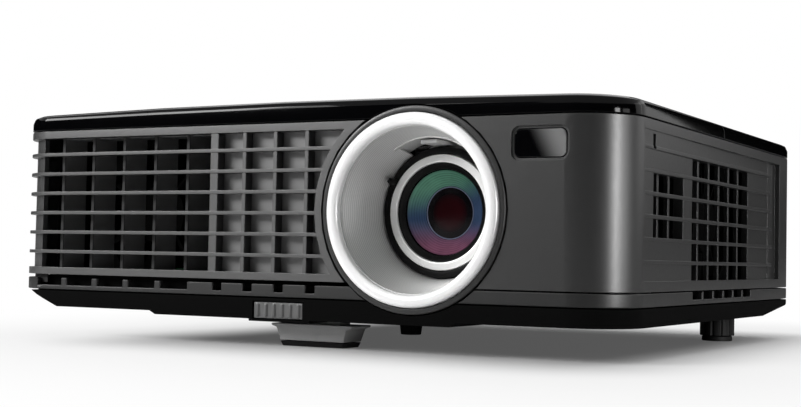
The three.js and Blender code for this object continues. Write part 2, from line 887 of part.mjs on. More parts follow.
// Grey base band under the grille and panels, with short slots along its top edge.
function makeBaseBand() {
  const returnEdge = block(-halfWidth, -halfWidth + leftChamferFoot + wall, frontY, rearY,
    bandBottom, bandBottom + wall);
  const band = caseWall(0, wall, bandBottom, bandTop)
    .add(carry(casePlan(0), 'z', bandBottom, bandTop).intersect(returnEdge));
  const frontSlot = (x, width) => block(x, x + width, frontY - overrun,
    frontY + wall + overrun, bandTop - bandSlotDepth, bandTop + overrun);
  const frontSlots = [
    ...span(louvreCount).map((index) =>
      frontSlot(pillarX + index * louvrePitch, louvrePitch - bandSlotBar)),
    ...span(uprightCount).map((index) =>
      frontSlot(firstUpright + thinUpright / 2 + index * uprightPitch, bandNotchWidth)),
  ];
  const sideSlots = [-1, 1].flatMap((side) => span(mainVentCount).map((index) => {
    const y = frontY + mainVentFromFront + index * mainVentPitch;
    const faces = [side * (halfWidth - wall - overrun), side * (halfWidth + overrun)];
    return block(Math.min(...faces), Math.max(...faces), y, y + mainVentPitch - ventBar,
      bandTop - bandSlotDepth, bandTop + overrun);
  }));
  add('base_band', cut(band, [bezelClearance(), ...frontSlots, ...sideSlots]), greyPlastic);
}

const footY = frontY + footFromFront + footDepth / 2;
const rearFootY = rearY - rearFootFromRear;
const bossPlaces = [
  [frontBossX, frontY + frontBossFromFront],
  [-rearBossX, rearY - rearBossFromRear],
  [rearBossX, rearY - rearBossFromRear],
];

// The underside of the case as seen from the front and from the side.
function undersideProfiles(rise) {
  const far = caseWidth;
  const low = trayFloor - platformDrop + rise;
  const floor = trayFloor + rise;
  const across = polygon([
    [-halfWidth + leftChamferFoot, trayTop + rise],
    [-halfWidth + leftChamferWidth, floor],
    [platformLeft - platformSlope, floor], [platformLeft, low],
    [platformRight, low], [platformRight + platformSlope, floor],
    [far, floor], [far, trayTop + caseHeight],
    [-halfWidth + leftChamferFoot, trayTop + caseHeight],
  ]);
  const along = polygon([
    [frontY - far, low], [rearY - rearChamferWidth, low],
    [rearY - rearChamferWidth, floor], [rearY, trayTop + rise - wall / 2],
    [rearY + far, trayTop + rise - wall / 2],
    [rearY + far, trayTop + caseHeight], [frontY - far, trayTop + caseHeight],
  ]);
  return carry(across, 'y', frontY - overrun, rearY + overrun)
    .intersect(carry(along, 'x', -far, far));
}

// Button housing, button and elevator foot share these faces.
const buttonTop = buttonBottom + buttonHeight;
const buttonLeft = buttonX - buttonWidth / 2;
const buttonRightFace = buttonX + buttonWidth / 2;
const legFront = footY - legDepth / 2 + wall;
const legRear = legFront + legDepth;

// Bottom tray: a chamfered pan with a tongue inside the seam, a light shield behind
// the foot of the grille, the guide of the elevator foot, the bosses of the rear feet
// and of a ceiling mount, and board posts.
function makeTray() {
  const pan = carry(casePlan(0), 'z', 0, trayTop).intersect(undersideProfiles(0));
  const hollow = carry(casePlan(wall), 'z', 0, trayTop + overrun)
    .intersect(undersideProfiles(wall));
  const tongueLeft = -halfWidth + leftChamferFoot + wall;
  const tongue = join([
    caseWall(wall + fit, wall + fit + tongueThickness, trayTop - wall, trayTop + tongueHeight),
    caseWall(wall / 2, wall + fit + tongueThickness, trayTop - wall, trayTop - fit),
  ]).intersect(undersideProfiles(0)).intersect(block(tongueLeft, halfWidth, frontY, rearY,
    0, caseHeight));
  const shieldOuter = ribDepth + louvreGap;
  const shieldInner = shieldOuter + tongueThickness;
  const shield = join([
    caseWall(shieldOuter, shieldInner, trayTop - wall, grilleBottom - fit),
    caseWall(wall + fit, shieldInner, trayTop - wall, trayTop - fit),
  ]).intersect(undersideProfiles(0)).intersect(block(tongueLeft, lensX - arcFrameOuter,
    frontY, frontY + grilleWrap, 0, caseHeight));
  const guide = block(footX - legWidth / 2 - fit - guideWall, footX + legWidth / 2 + fit + guideWall,
    legFront - fit - guideWall, legRear + fit + guideWall, trayFloor, trayFloor + guideHeight);
  const legHole = block(footX - legWidth / 2 - fit, footX + legWidth / 2 + fit,
    legFront - fit, legRear + fit, 0, trayFloor + guideHeight + overrun);
  const housing = block(buttonLeft - fit - housingWall, buttonRightFace + fit + housingRight,
    frontY, frontY + buttonDepth + housingWall, buttonBottom - fit - housingWall / 2,
    trayTop);
  const buttonHole = block(buttonLeft - fit, buttonRightFace + fit, frontY - overrun,
    frontY + buttonDepth + fit, buttonBottom - fit, buttonTop + fit);
  const bosses = bossPlaces.map(([x, y]) => {
    const geometry = new THREE.CylinderGeometry(bossRadius, bossRadius - bossTaper,
      trayFloor + wall / 2 - bossTop + bossHeight, 12);
    geometry.rotateX(Math.PI / 2);
    const middle = (bossTop - bossHeight + trayFloor + wall / 2) / 2;
    geometry.translate(x, y, middle);
    return solid(geometry);
  });
  const bossHoles = bossPlaces.map(([x, y]) => bar('z', x, y, bossBore, 0, trayTop, 4));
  const footBosses = [-1, 1].map((side) => bar('z', side * rearFootX, rearFootY,
    studRadius + fit + studBossWall, trayFloor + fit, trayFloor + studBossHeight, 5));
  const footHoles = [-1, 1].map((side) => bar('z', side * rearFootX, rearFootY,
    studRadius + fit, 0, trayFloor + studBossHeight + overrun, 4));
  const posts = join([...footBosses, ...boardPosts().map(([x, y]) =>
    block(x - postWidth / 2, x + postWidth / 2, y - postWidth / 2, y + postWidth / 2,
      trayFloor + fit, boardHeight - fit))]).intersect(undersideProfiles(fit));
  const walled = join([pan.subtract(hollow), tongue, shield, guide, housing, ...bosses, posts]);
  const tray = cut(walled, [bezelClearance(), legHole, buttonHole, ...bossHoles, ...footHoles]);
  add('bottom_tray', tray, blackPlastic);
}

// Places of the posts under both boards.
function boardPosts() {
  const mainRear = rearY - bayDepth - wall;
  return [
    [mainBoardLeft + postInset, mainBoardFront + postInset],
    [mainBoardRight - postInset, mainBoardFront + postInset],
    [mainBoardLeft + postInset, mainRear - postInset],
    [mainBoardRight - postInset, mainRear - postInset],
    [powerBoardLeft + postInset, powerBoardFront + postInset],
    [powerBoardRight - postInset, powerBoardFront + postInset],
    [powerBoardLeft + postInset, powerBoardRear - postInset],
    [powerBoardRight - postInset, powerBoardRear - postInset],
  ];
}

// Elevator foot with its toothed leg and rubber pad, and the release button.
function makeElevator() {
  const tapered = (width, depth, height) => planRect(footX, footY, width, depth, height);
  const foot = loft([
    tapered(footWidth - 2 * footTaper, footDepth - footTaper, footPadHeight + fit),
    tapered(footWidth, footDepth, footHeight - footFlangeHeight),
    tapered(footWidth + 2 * footFlange, footDepth, footHeight - footFlangeHeight / 2),
    tapered(footWidth + 2 * footFlange, footDepth, footHeight),
  ]);
  const leg = block(footX - legWidth / 2, footX + legWidth / 2, legFront, legRear,
    footHeight - overrun, footHeight + legHeight);
  const teeth = span(Math.floor((legHeight - legRackPitch) / legRackPitch)).map((index) => {
    const z = footHeight + legRackPitch * (index + 1);
    return block(footX - legWidth / 4, footX + legWidth / 4, legFront - overrun,
      legFront + legRackDepth, z, z + legRackPitch / 2);
  });
  add('elevator_foot', cut(foot.add(leg), teeth), blackPlastic);
  const pad = loft([
    tapered(footWidth - 3 * footTaper, footDepth - 2 * footTaper, 0),
    tapered(footWidth - 2 * footTaper, footDepth - footTaper, footPadHeight),
  ]);
  add('elevator_pad', pad, rubber);
  const plate = block(buttonLeft, buttonRightFace, frontY + buttonGripDepth,
    frontY + buttonDepth - footTaper - wall, buttonBottom, buttonTop);
  const gripPitch = buttonWidth / buttonGrips;
  const grips = span(buttonGrips).map((index) => {
    const x = buttonLeft + gripPitch * index + gripPitch / 2;
    return block(x - buttonGripWidth / 2, x + buttonGripWidth / 2, frontY,
      frontY + 2 * buttonGripDepth, buttonBottom + buttonGripWidth / 2,
      buttonTop - buttonGripWidth / 2);
  });
  add('elevator_button', join([plate, ...grips]), blackPlastic);
}

// A rectangular ring of four points.
function planRect(x, y, width, depth, z) {
  const places = [[-1, -1], [1, -1], [1, 1], [-1, 1]];
  return places.map(([sx, sy]) =>
    new THREE.Vector3(x + sx * width / 2, y + sy * depth / 2, z));
}

// Rear feet: a screw foot with a fluted wheel on the right, a plain one on the left.
function makeRearFeet() {
  const top = rearPadHeight + fit + wheelHeight;
  const padded = (x) => bar('z', x, rearFootY, rearFootRadius - wheelFluteRadius, 0,
    rearPadHeight, 8);
  const stud = (x, from) => bar('z', x, rearFootY, studRadius, from, top + studLength / 2, 4);
  add('tilt_foot', padded(rearFootX).add(bar('z', rearFootX, rearFootY, studRadius / 2,
    rearPadHeight - fit, top + studLength, 3)), rubber);
  const rim = bar('z', rearFootX, rearFootY, rearFootRadius, rearPadHeight + fit, top, 12);
  const flutes = span(wheelFlutes).map((index) => {
    const angle = (index / wheelFlutes) * 2 * Math.PI;
    return bar('z', rearFootX + rearFootRadius * Math.cos(angle),
      rearFootY + rearFootRadius * Math.sin(angle), wheelFluteRadius, 0, top + overrun, 2);
  });
  const bore = bar('z', rearFootX, rearFootY, studRadius / 2 + fit, 0,
    top + studLength, 3);
  add('tilt_wheel', cut(rim.add(stud(rearFootX, top - overrun)), [...flutes, bore]), blackPlastic);
  add('rear_left_foot', join([padded(-rearFootX), bar('z', -rearFootX, rearFootY,
    rearFootRadius - wheelFluteRadius, rearPadHeight / 2, trayFloor - fit, 8),
  stud(-rearFootX, trayFloor - overrun)]), rubber);
}

// Rings of the lens nest, from the bezel inwards and backwards.
function makeLensNest() {
  const chamfer = bezelProud / 2;
  add('lens_bezel', turned([
    [chromeOuter + fit, frontY - bezelProud], [bezelOuter - chamfer, frontY - bezelProud],
    [bezelOuter, frontY - bezelProud + chamfer], [bezelOuter, frontY + bezelDepth],
    [chromeInner + coneWall, frontY + bezelDepth],
    [chromeInner + coneWall, frontY + chromeDepth + fit],
    [chromeOuter + fit, frontY + chromeDepth + fit],
  ]), greyPlastic);

  const crownSteps = 4;
  const middle = (chromeOuter + chromeInner) / 2;
  const half = (chromeOuter - chromeInner) / 2;
  const arch = span(crownSteps + 1).map((step) => {
    const angle = (step / crownSteps) * Math.PI;
    return [middle + half * Math.cos(angle), frontY - chromeProud * Math.sin(angle)];
  });
  add('chrome_ring', turned([
    [chromeOuter, frontY + chromeDepth], ...arch,
    [chromeInner, frontY + chromeDepth],
  ]), chromePlate);

  const coneFront = frontY + fit;
  const coneBack = frontY + coneDepth;
  const mouth = chromeInner - fit;
  add('lens_cone', turned([
    [mouth, coneFront], [mouth, coneFront + coneWall],
    [coneThroat + coneWall, coneBack], [coneThroat, coneBack],
    [coneThroat, coneBack - coneWall / 2], [mouth - coneWall / 2, coneFront],
  ]).subtract(zoomSlot()), satinSilver);

  add('focus_ring', makeFocusRing(), blackPlastic);
  const trimFront = coneBack + trimSetback;
  add('lens_trim_ring', turned([
    [trimInner, trimFront], [focusRingInner - fit, trimFront],
    [focusRingInner - fit, trimFront + trimLength],
    [frontGlassRadius - wall, trimFront + trimLength],
    [frontGlassRadius - wall, trimFront + trimLength - wall],
    [frontGlassRadius + fit, trimFront + trimLength - wall],
    [frontGlassRadius + fit, trimFront + frontGlassSetback],
  ], 28), satinSilver);
  add('front_lens', makeFrontGlass(coneBack + frontGlassSetback), lensGlass);
}

// Puts a piece drawn at twelve o'clock of the lens axis at another angle round it.
function aroundLens(geometry, angle) {
  geometry.rotateY(Math.PI / 2 - radians(angle));
  geometry.translate(lensX, 0, lensZ);
  return solid(geometry);
}

const focusFront = frontY + coneDepth + focusRingSetback;
const focusBack = focusFront + focusRingLength;
const zoomFront = focusBack + fit;
const zoomBack = zoomFront + zoomRingLength;
const focusOuter = coneThroat - fit;

// Focus ring: plain grip with a finger tab.
function makeFocusRing() {
  const grip = turned([
    [focusRingInner, focusFront], [focusOuter, focusFront],
    [focusOuter, focusBack], [focusRingInner, focusBack],
  ]);
  const tab = new THREE.BoxGeometry(focusTabWidth, focusTabLength,
    focusOuter - focusRingInner);
  tab.translate(0, focusFront - focusTabLength / 2 + overrun / 2,
    (focusOuter + focusRingInner) / 2);
  return grip.add(aroundLens(tab, focusTabAngle));
}

// The zoom ring's tab, which reaches forward through the cone.
const zoomTabFront = focusFront - zoomTabReach;
function zoomTab() {
  const tab = new THREE.BoxGeometry(zoomTabWidth, zoomFront + overrun - zoomTabFront,
    zoomTabThickness);
  tab.translate(0, (zoomTabFront + zoomFront + overrun) / 2,
    coneThroat + fit + zoomTabThickness / 2);
  return aroundLens(tab, zoomTabAngle);
}

// The slot in the cone that lets the zoom tab swing: a sector of a ring.
function zoomSlot() {
  const outer = coneThroat + zoomTabThickness + 3 * fit;
  const ring = turned([
    [coneThroat - overrun, zoomTabFront - fit], [outer, zoomTabFront - fit],
    [outer, frontY + coneDepth + overrun], [coneThroat - overrun, frontY + coneDepth + overrun],
  ]);
  const reach = 2 * coneThroat;
  const halfTab = Math.atan2(zoomTabWidth / 2 + 2 * fit, coneThroat);
  const edge = (turn) => {
    const angle = radians(zoomTabAngle) + turn * (radians(zoomSweep) + halfTab);
    return [lensX + reach * Math.cos(angle), lensZ + reach * Math.sin(angle)];
  };
  const sector = polygon([[lensX, lensZ], edge(-1), edge(1)]);
  return ring.intersect(carry(sector, 'y', frontY, frontY + coneDepth + 2 * overrun));
}

// Front glass: a dome at the front over a shallower hollow behind.
function makeFrontGlass(apexBase) {
  const steps = 4;
  const dome = span(steps + 1).map((step) => {
    const radius = frontGlassRadius * (step / steps);
    return [radius, apexBase - frontGlassDome * (1 - (step / steps) ** 2) + frontGlassDome];
  });
  const back = apexBase + frontGlassDome + frontGlassThickness;
  return turned([...dome, [frontGlassRadius, back], [0, back]], 28);
}

// Zoom ring, fixed barrel and the inner lens cell that the zoom ring moves.
function makeLensBarrel() {
  const zoomOuter = coneThroat + fit + zoomTabThickness;
  const ring = turned([
    [focusRingInner, zoomFront], [zoomOuter, zoomFront],
    [zoomOuter, zoomBack], [focusRingInner, zoomBack],
  ], 24);
  add('zoom_ring', ring.add(zoomTab()), blackPlastic);
  const engineFront = frontY + engineFromFront;
  const barrelFront = frontY + coneDepth + trimSetback + trimLength + focusTravel + fit;
  const flangeY = engineFront - fit - barrelFlangeThickness;
  add('lens_barrel', turned([
    [barrelOuter, barrelFront], [barrelOuter, flangeY],
    [barrelFlange, flangeY], [barrelFlange, engineFront - fit],
    [barrelOuter - barrelWall, engineFront - fit], [barrelOuter - barrelWall, barrelFront],
  ], 24), blackPlastic);
  const cellOuter = barrelOuter - barrelWall - fit;
  const cellFront = barrelFront + zoomCellInset;
  const cellBack = cellFront + zoomCellLength;
  const eye = cellOuter - zoomCellWall;
  add('zoom_lens_cell', turned([
    [0, cellFront + wall], [eye, cellFront + wall], [eye, cellFront], [cellOuter, cellFront],
    [cellOuter, cellBack], [eye, cellBack], [eye, cellBack - wall], [0, cellBack - wall],
  ], 20), lensGlass);
}

// Keypad plate, its eight keys and the light bars.
function makeKeypad() {
  const plateTop = crown(Math.abs(keypadX) + keypadWidth / 2) - keypadSunk;
  const keys = keyPlaces();
  const holes = keys.map((key) => carry(keyOutline(key, fit), 'z', 0, caseHeight,
    key.round ? 6 : 1));
  const lightX = keypadX - keypadWidth / 2 + powerFromLeft;
  const lightY = keypadY + lightFromPower;
  const lightShape = (grow) => roundedPlate(lightX, lightY, lightLength + 2 * grow,
    lightWidth + 2 * grow, lightWidth / 2 + grow);
  const plate = carry(roundedPlate(keypadX, keypadY, keypadWidth, keypadDepth,
    keypadCorner - fit), 'z', plateTop - keypadThickness, plateTop);
  const lightHole = carry(lightShape(fit), 'z', 0, caseHeight);
  add('keypad_plate', cut(plate, [...holes, lightHole]), blackPlastic);
  keys.forEach((key) => {
    const geometry = new THREE.ExtrudeGeometry(keyOutline(key, -keyBevel), {
      depth: keyProud + keyDepthBelow - 2 * keyBevel, curveSegments: key.round ? 6 : 1,
      bevelThickness: keyBevel, bevelSize: keyBevel, bevelSegments: 1,
    });
    geometry.translate(0, 0, plateTop - keyDepthBelow + keyBevel);
    add(key.name, solid(geometry), satinSilver);
  });
  add('status_lights', carry(lightShape(0), 'z', plateTop - keypadThickness,
    plateTop + lightProud), lightBar);
}

// Names and places of the keys on the keypad.
function keyPlaces() {
  const left = keypadX - keypadWidth / 2;
  const right = keypadX + keypadWidth / 2;
  const square = (name, x, y) => ({ name, x, y, round: 0 });
  return [
    { name: 'key_power', x: left + powerFromLeft, y: keypadY - menuSpread / 3, round: powerRadius },
    { name: 'key_enter', x: keypadX, y: keypadY, round: enterRadius },
    square('key_up', keypadX, keypadY + arrowOffset),
    square('key_down', keypadX, keypadY - arrowOffset),
    square('key_left', keypadX - arrowOffset, keypadY),
    square('key_right', keypadX + arrowOffset, keypadY),
    square('key_menu', right - menuFromRight, keypadY + menuSpread),
    square('key_source', right - menuFromRight, keypadY - menuSpread),
  ];
}

// A key's outline, grown on all sides.
function keyOutline({ x, y, round }, grow) {
  if (round) return disc(x, y, round + grow);
  return roundedPlate(x, y, keySize + 2 * grow, keySize + 2 * grow, keyCorner + grow);
}

// Sockets of the bay in one row, each with its width, its outline and its own solid.
const bayFace = rearY - bayDepth;
function socketRow() {
  const row = [
    { name: 'usb_socket', width: usbWidth, make: boxSocket(usbHeight), finish: socketSteel },
    { name: 'hdmi_socket', width: hdmiWidth, make: boxSocket(hdmiHeight), finish: socketSteel },
    { name: 'vga_socket', width: vgaWidth, make: vgaSocket, finish: socketBlue },
    { name: 's_video_socket', width: 2 * dinRadius, make: dinSocket, finish: darkPlastic },
    { name: 'composite_socket', width: 2 * rcaFlangeRadius, make: rcaSocket, finish: videoYellow },
    { name: 'audio_in_socket', width: 2 * audioRadius, make: jackSocket, finish: socketBlue },
    { name: 'audio_out_socket', width: 2 * audioRadius, make: jackSocket, finish: audioGreen },
  ];
  const used = row.reduce((sum, socket) => sum + socket.width, 0);
  const gap = (bayRight - bayLeft - used) / (row.length + 1);
  let x = bayLeft + gap;
  row.forEach((socket) => {
    socket.x = x + socket.width / 2;
    x += socket.width + gap;
  });
  return row;
}

const socketZ = (height) => socketFloor + height / 2;

// A flat socket: a folded shell with its mouth and the tongue inside.
function boxSocket(height) {
  return (x, width) => {
    const z = socketZ(height);
    const shell = block(x - width / 2, x + width / 2, bayFace - socketBehind, bayFace + bayWall,
      z - height / 2, z + height / 2);
    const mouth = block(x - width / 2 + socketWall, x + width / 2 - socketWall,
      bayFace + bayWall - socketHollow, bayFace + bayWall + overrun,
      z - height / 2 + socketWall, z + height / 2 - socketWall);
    const tongue = block(x - width / 4, x + width / 4, bayFace + bayWall - socketHollow - overrun,
      bayFace + bayWall - overrun, z - socketWall / 2, z + socketWall / 2);
    return shell.subtract(mouth).add(tongue);
  };
}

// A fifteen-pin display socket: flange, sloped shell and its two hex nuts.
function vgaSocket(x) {
  const z = socketZ(vgaHeight);
  const flange = carry(roundedPlate(x, z, vgaWidth, vgaHeight, socketWall), 'y',
    bayFace - socketBehind, bayFace + socketWall);
  const slope = vgaShellHeight / 6;
  const shellShape = (grow) => polygon([
    [x - vgaShellWidth / 2 + slope - grow, z - vgaShellHeight / 2 - grow],
    [x + vgaShellWidth / 2 - slope + grow, z - vgaShellHeight / 2 - grow],
    [x + vgaShellWidth / 2 + grow, z + vgaShellHeight / 2 + grow],
    [x - vgaShellWidth / 2 - grow, z + vgaShellHeight / 2 + grow],
  ]);
  const shell = carry(shellShape(0), 'y', bayFace - overrun, bayFace + socketHollow);
  const hollow = carry(shellShape(-socketWall), 'y', bayFace + socketHollow - vgaHollow,
    bayFace + socketHollow + overrun);
  const nuts = [-1, 1].map((side) => bar('y', x + side * vgaNutSpread, z, vgaNutRadius,
    bayFace - overrun, bayFace + socketWall + vgaNutLength, 3));
  return join([flange, shell, ...nuts]).subtract(hollow);
}

// A round mini socket with its key post.
function dinSocket(x) {
  const z = socketZ(2 * dinRadius);
  const body = bar('y', x, z, dinRadius, bayFace - socketBehind, bayFace + bayWall, 8);
  const hollow = bar('y', x, z, dinHollow, bayFace + bayWall - socketHollow,
    bayFace + bayWall + overrun, 8);
  const post = block(x - dinPost, x + dinPost, bayFace + bayWall - socketHollow - overrun,
    bayFace + bayWall - overrun, z - dinHollow / 2 - dinPost, z - dinHollow / 2);
  return body.subtract(hollow).add(post);
}

// A phono socket: coloured flange and its round barrel.
function rcaSocket(x) {
  const z = socketZ(2 * rcaFlangeRadius);
  const flange = bar('y', x, z, rcaFlangeRadius, bayFace - socketBehind, bayFace + socketWall, 8);
  const barrel = bar('y', x, z, rcaRadius, bayFace, bayFace + rcaLength, 8);
  const bore = bar('y', x, z, rcaBore, bayFace, bayFace + rcaLength + overrun, 4);
  return flange.add(barrel).subtract(bore);
}

// A small audio jack.
function jackSocket(x) {
  const z = socketZ(2 * audioRadius);
  const body = bar('y', x, z, audioRadius, bayFace - socketBehind, bayFace + socketWall, 8);
  const bore = bar('y', x, z, audioBore, bayFace - socketBehind / 2, bayFace + bayWall, 4);
  return body.subtract(bore);
}

// Rear panel with the sunk bay, and every socket in its own cut-out.
function makeRear() {
  const left = -halfWidth + rearCorner + fit;
  const right = halfWidth - rearCorner - fit;
  const plate = block(left, right, rearY - wall, rearY, panelBottom, panelTop);
  const bayBlock = block(bayLeft - bayWall, bayRight + bayWall, bayFace - bayWall, rearY - wall / 2,
    bayBottom - bayWall, bayTop + bayWall);
  const bay = block(bayLeft, bayRight, bayFace, rearY + overrun, bayBottom, bayTop);
  const sockets = socketRow();
  const heights = {
    usb_socket: usbHeight, hdmi_socket: hdmiHeight, vga_socket: vgaHeight,
    s_video_socket: 2 * dinRadius, composite_socket: 2 * rcaFlangeRadius,
    audio_in_socket: 2 * audioRadius, audio_out_socket: 2 * audioRadius,
  };
  const holes = sockets.map(({ name, x, width }) => {
    const tall = heights[name];
    return carry(roundedPlate(x, socketZ(tall), width + 2 * fit, tall + 2 * fit, socketWall),
      'y', bayFace - bayWall - overrun, bayFace + overrun, 1);
  });
  const inletHole = carry(roundedPlate(inletX, inletZ, inletWidth + 2 * fit,
    inletHeight + 2 * fit, inletCorner), 'y', rearY - wall - overrun, rearY + overrun);
  add('rear_panel', cut(plate.add(bayBlock), [bay, ...holes, inletHole]), blackPlastic);
  sockets.forEach(({ name, x, width, make, finish: coat }) => add(name, make(x, width), coat));

  const bodyShape = roundedPlate(inletX, inletZ, inletMouthWidth + 2 * inletWall,
    inletMouthHeight + 2 * inletWall, inletCorner);
  const flange = carry(roundedPlate(inletX, inletZ, inletWidth, inletHeight, inletCorner),
    'y', rearY - inletFlange, rearY);
  const body = carry(bodyShape, 'y', rearY - inletBodyDepth, rearY - inletFlange / 2);
  const mouth = carry(roundedPlate(inletX, inletZ, inletMouthWidth, inletMouthHeight, inletCorner),
    'y', rearY - inletMouthDepth, rearY + overrun);
  const pins = [[-1, -1], [0, 1], [1, -1]].map(([across, up]) => {
    const x = inletX + across * pinSpread;
    const z = inletZ + up * pinRise;
    return block(x - pinThickness / 2, x + pinThickness / 2, rearY - inletMouthDepth - overrun,
      rearY - inletMouthDepth + pinLength, z - pinWidth / 2, z + pinWidth / 2);
  });
  add('power_inlet', join([flange.add(body).subtract(mouth), ...pins]), darkPlastic);
}

// Light engine casting, heat sink, colour wheel and motor.
const discY = engineRearY + fit + wheelHubLength;
function makeEngine() {
  const tall = block(engineLeft, engineRight, engineFrontY, engineRearY - engineStepDepth,
    engineBottom, engineTop);
  const low = block(engineLeft, engineRight, engineFrontY + overrun, engineRearY,
    engineBottom, engineTop - engineStep);
  const feet = [engineLeft, engineRight - engineFoot].map((x) =>
    block(x, x + engineFoot, engineFrontY, engineRearY, trayFloor + wall + fit,
      engineBottom + overrun));
  const lensPort = bar('y', lensX, lensZ, barrelOuter - barrelWall, engineFrontY - overrun,
    engineFrontY + engineStepDepth, 14);
  const lampPort = bar('y', lampAxisX, lampAxisZ, wheelHubRadius, engineRearY - engineStepDepth,
    engineRearY + overrun, 5);
  add('light_engine', cut(join([tall, low, ...feet]), [lensPort, lampPort]), castMetal);

  const sinkX = engineLeft + sinkWidth / 2;
  const base = block(sinkX - sinkWidth / 2, sinkX + sinkWidth / 2, engineRearY + fit,
    engineRearY + fit + sinkBase, engineBottom, engineBottom + sinkHeight);
  const finPitch = (sinkWidth - sinkFinThickness) / (sinkFins - 1);
  const fins = span(sinkFins).map((index) => {
    const x = sinkX - sinkWidth / 2 + index * finPitch;
    return block(x, x + sinkFinThickness, engineRearY + fit + sinkBase / 2,
      engineRearY + fit + sinkBase + sinkFin, engineBottom, engineBottom + sinkHeight);
  });
  add('imaging_heat_sink', join([base, ...fins]), castMetal);

  add('colour_wheel', turned([
    [0, discY - wheelHubLength / 2], [wheelHubRadius, discY - wheelHubLength / 2],
    [wheelHubRadius, discY], [wheelDiscRadius, discY],
    [wheelDiscRadius, discY + wheelThickness], [0, discY + wheelThickness],
  ], 24, lampAxisX, wheelZ), mirrorCoat);
  const motorFront = discY + wheelThickness + fit;
  const can = bar('y', lampAxisX, wheelZ, motorRadius, motorFront, motorFront + motorLength, 8);
  const bracketTop = engineTop - engineStep;
  const arm = block(lampAxisX - motorRadius, lampAxisX + motorRadius, motorFront + motorLength / 2,
    motorFront + motorLength, bracketTop, wheelZ);
  const footPlate = block(engineRight - engineFoot, engineRight, engineRearY + fit,
    motorFront + motorLength, bracketTop - engineFoot, bracketTop);
  const tie = block(lampAxisX, engineRight, motorFront + motorLength / 2,
    motorFront + motorLength, bracketTop - engineFoot, bracketTop + overrun);
  add('colour_wheel_motor', join([can, arm, footPlate, tie]), castMetal);
}

// Lamp module: housing with an open front, carrying handle, reflector and burner.
function makeLamp() {
  const back = rearY - lampFromRear;
  const front = back - lampDepth;
  const top = lampBottom + lampHeight;
  const shell = carry(roundedPlate(lampAxisX, lampBottom + lampHeight / 2, lampWidth, lampHeight,
    lampCornerRadius), 'y', front, back, 3);
  const cavity = bar('y', lampAxisX, lampAxisZ, reflectorRadius + fit, front - overrun,
    back - 2 * wall, 12);
  const path = new THREE.CatmullRomCurve3([
    new THREE.Vector3(-lampHandleReach, 0, -lampHandleRadius),
    new THREE.Vector3(-lampHandleReach, 0, lampHandleRise / 2),
    new THREE.Vector3(-lampHandleReach + lampHandleRise, 0, lampHandleRise),
    new THREE.Vector3(lampHandleReach - lampHandleRise, 0, lampHandleRise),
    new THREE.Vector3(lampHandleReach, 0, lampHandleRise / 2),
    new THREE.Vector3(lampHandleReach, 0, -lampHandleRadius),
  ], false, 'centripetal');
  const wire = new THREE.ExtrudeGeometry(disc(0, 0, lampHandleRadius), {
    extrudePath: path, steps: 12, curveSegments: 3, bevelEnabled: false,
  });
  wire.translate(lampAxisX, (front + back) / 2, top);
  const feet = [-1, 1].map((side) => {
    const x = lampAxisX + side * (lampWidth / 2 - lampCornerRadius);
    return block(x - lampCornerRadius / 2, x + lampCornerRadius / 2, front,
      rearY - rearChamferWidth, trayFloor + wall + fit, lampBottom + overrun);
  });
  add('lamp_housing', join([shell.subtract(cavity), solid(wire), ...feet]), darkPlastic);

  const steps = 2;
  const bowl = (offset) => span(steps + 1).map((step) => {
    const radius = reflectorNeck + (reflectorRadius - offset - reflectorNeck) * (step / steps);
    const share = (radius - reflectorNeck) / (reflectorRadius - reflectorNeck);
    return [radius, front + fit + reflectorDepth * (1 - share ** 2) + offset];
  });
  const neckBack = front + reflectorDepth + reflectorNeckLength;
  const outer = bowl(0);
  const inner = bowl(reflectorThickness)
    .map(([radius, y]) => [radius, y - 2 * reflectorThickness]);
  const mouth = front + fit;
  const reflector = turned([
    [0, neckBack], [outer[0][0], neckBack], ...outer,
    [reflectorRadius - reflectorThickness, mouth],
    ...inner.reverse().filter(([, y]) => y > mouth + reflectorThickness),
    [burnerRadius, front + reflectorDepth - reflectorThickness],
    [burnerRadius, front + reflectorDepth - burnerReach],
    [0, front + reflectorDepth - burnerReach],
  ], 16, lampAxisX, lampAxisZ);
  add('lamp_reflector', reflector, mirrorCoat);
}

// A fan in its own frame, blowing along local Y about its middle: square frame with a
// round bore, struts to the motor seat, and a rotor of twisted blades.
function fanSolids(size, thickness) {
  const bore = size / 2 - fanRim;
  const half = thickness / 2;
  const frame = carry(roundedPlate(0, 0, size, size, fanCorner), 'y', -half, half, 3)
    .subtract(bar('y', 0, 0, bore, -half - overrun, half + overrun, 8));
  const seatRadius = fanHubRadius - fanMotorGap;
  const seat = bar('y', 0, 0, seatRadius, half - fanStrutDepth, half, 6);
  const struts = [0, 1, 2].map((index) => {
    const strut = new THREE.BoxGeometry(fanStrut, fanStrutDepth, bore);
    strut.translate(0, half - fanStrutDepth / 2, bore / 2 + fanStrut / 2);
    strut.rotateY((index / 3) * 2 * Math.PI);
    return solid(strut);
  });
  const shaftBore = bar('y', 0, 0, fanShaftRadius + fit, -half, half + overrun, 4);
  const rotorBack = half - fanStrutDepth - fanMotorGap;
  const rotorFront = -half + fanMotorGap;
  const hub = bar('y', 0, 0, fanHubRadius, rotorFront, rotorBack, 6);
  const shaft = bar('y', 0, 0, fanShaftRadius, rotorBack - overrun, half, 3);
  const blades = span(fanBlades).map((index) => fanBlade(bore - fanTipGap, rotorFront, rotorBack,
    (index / fanBlades) * 2 * Math.PI));
  return {
    frame: cut(join([frame, seat, ...struts]), [shaftBore]),
    rotor: join([hub, shaft, ...blades]),
  };
}

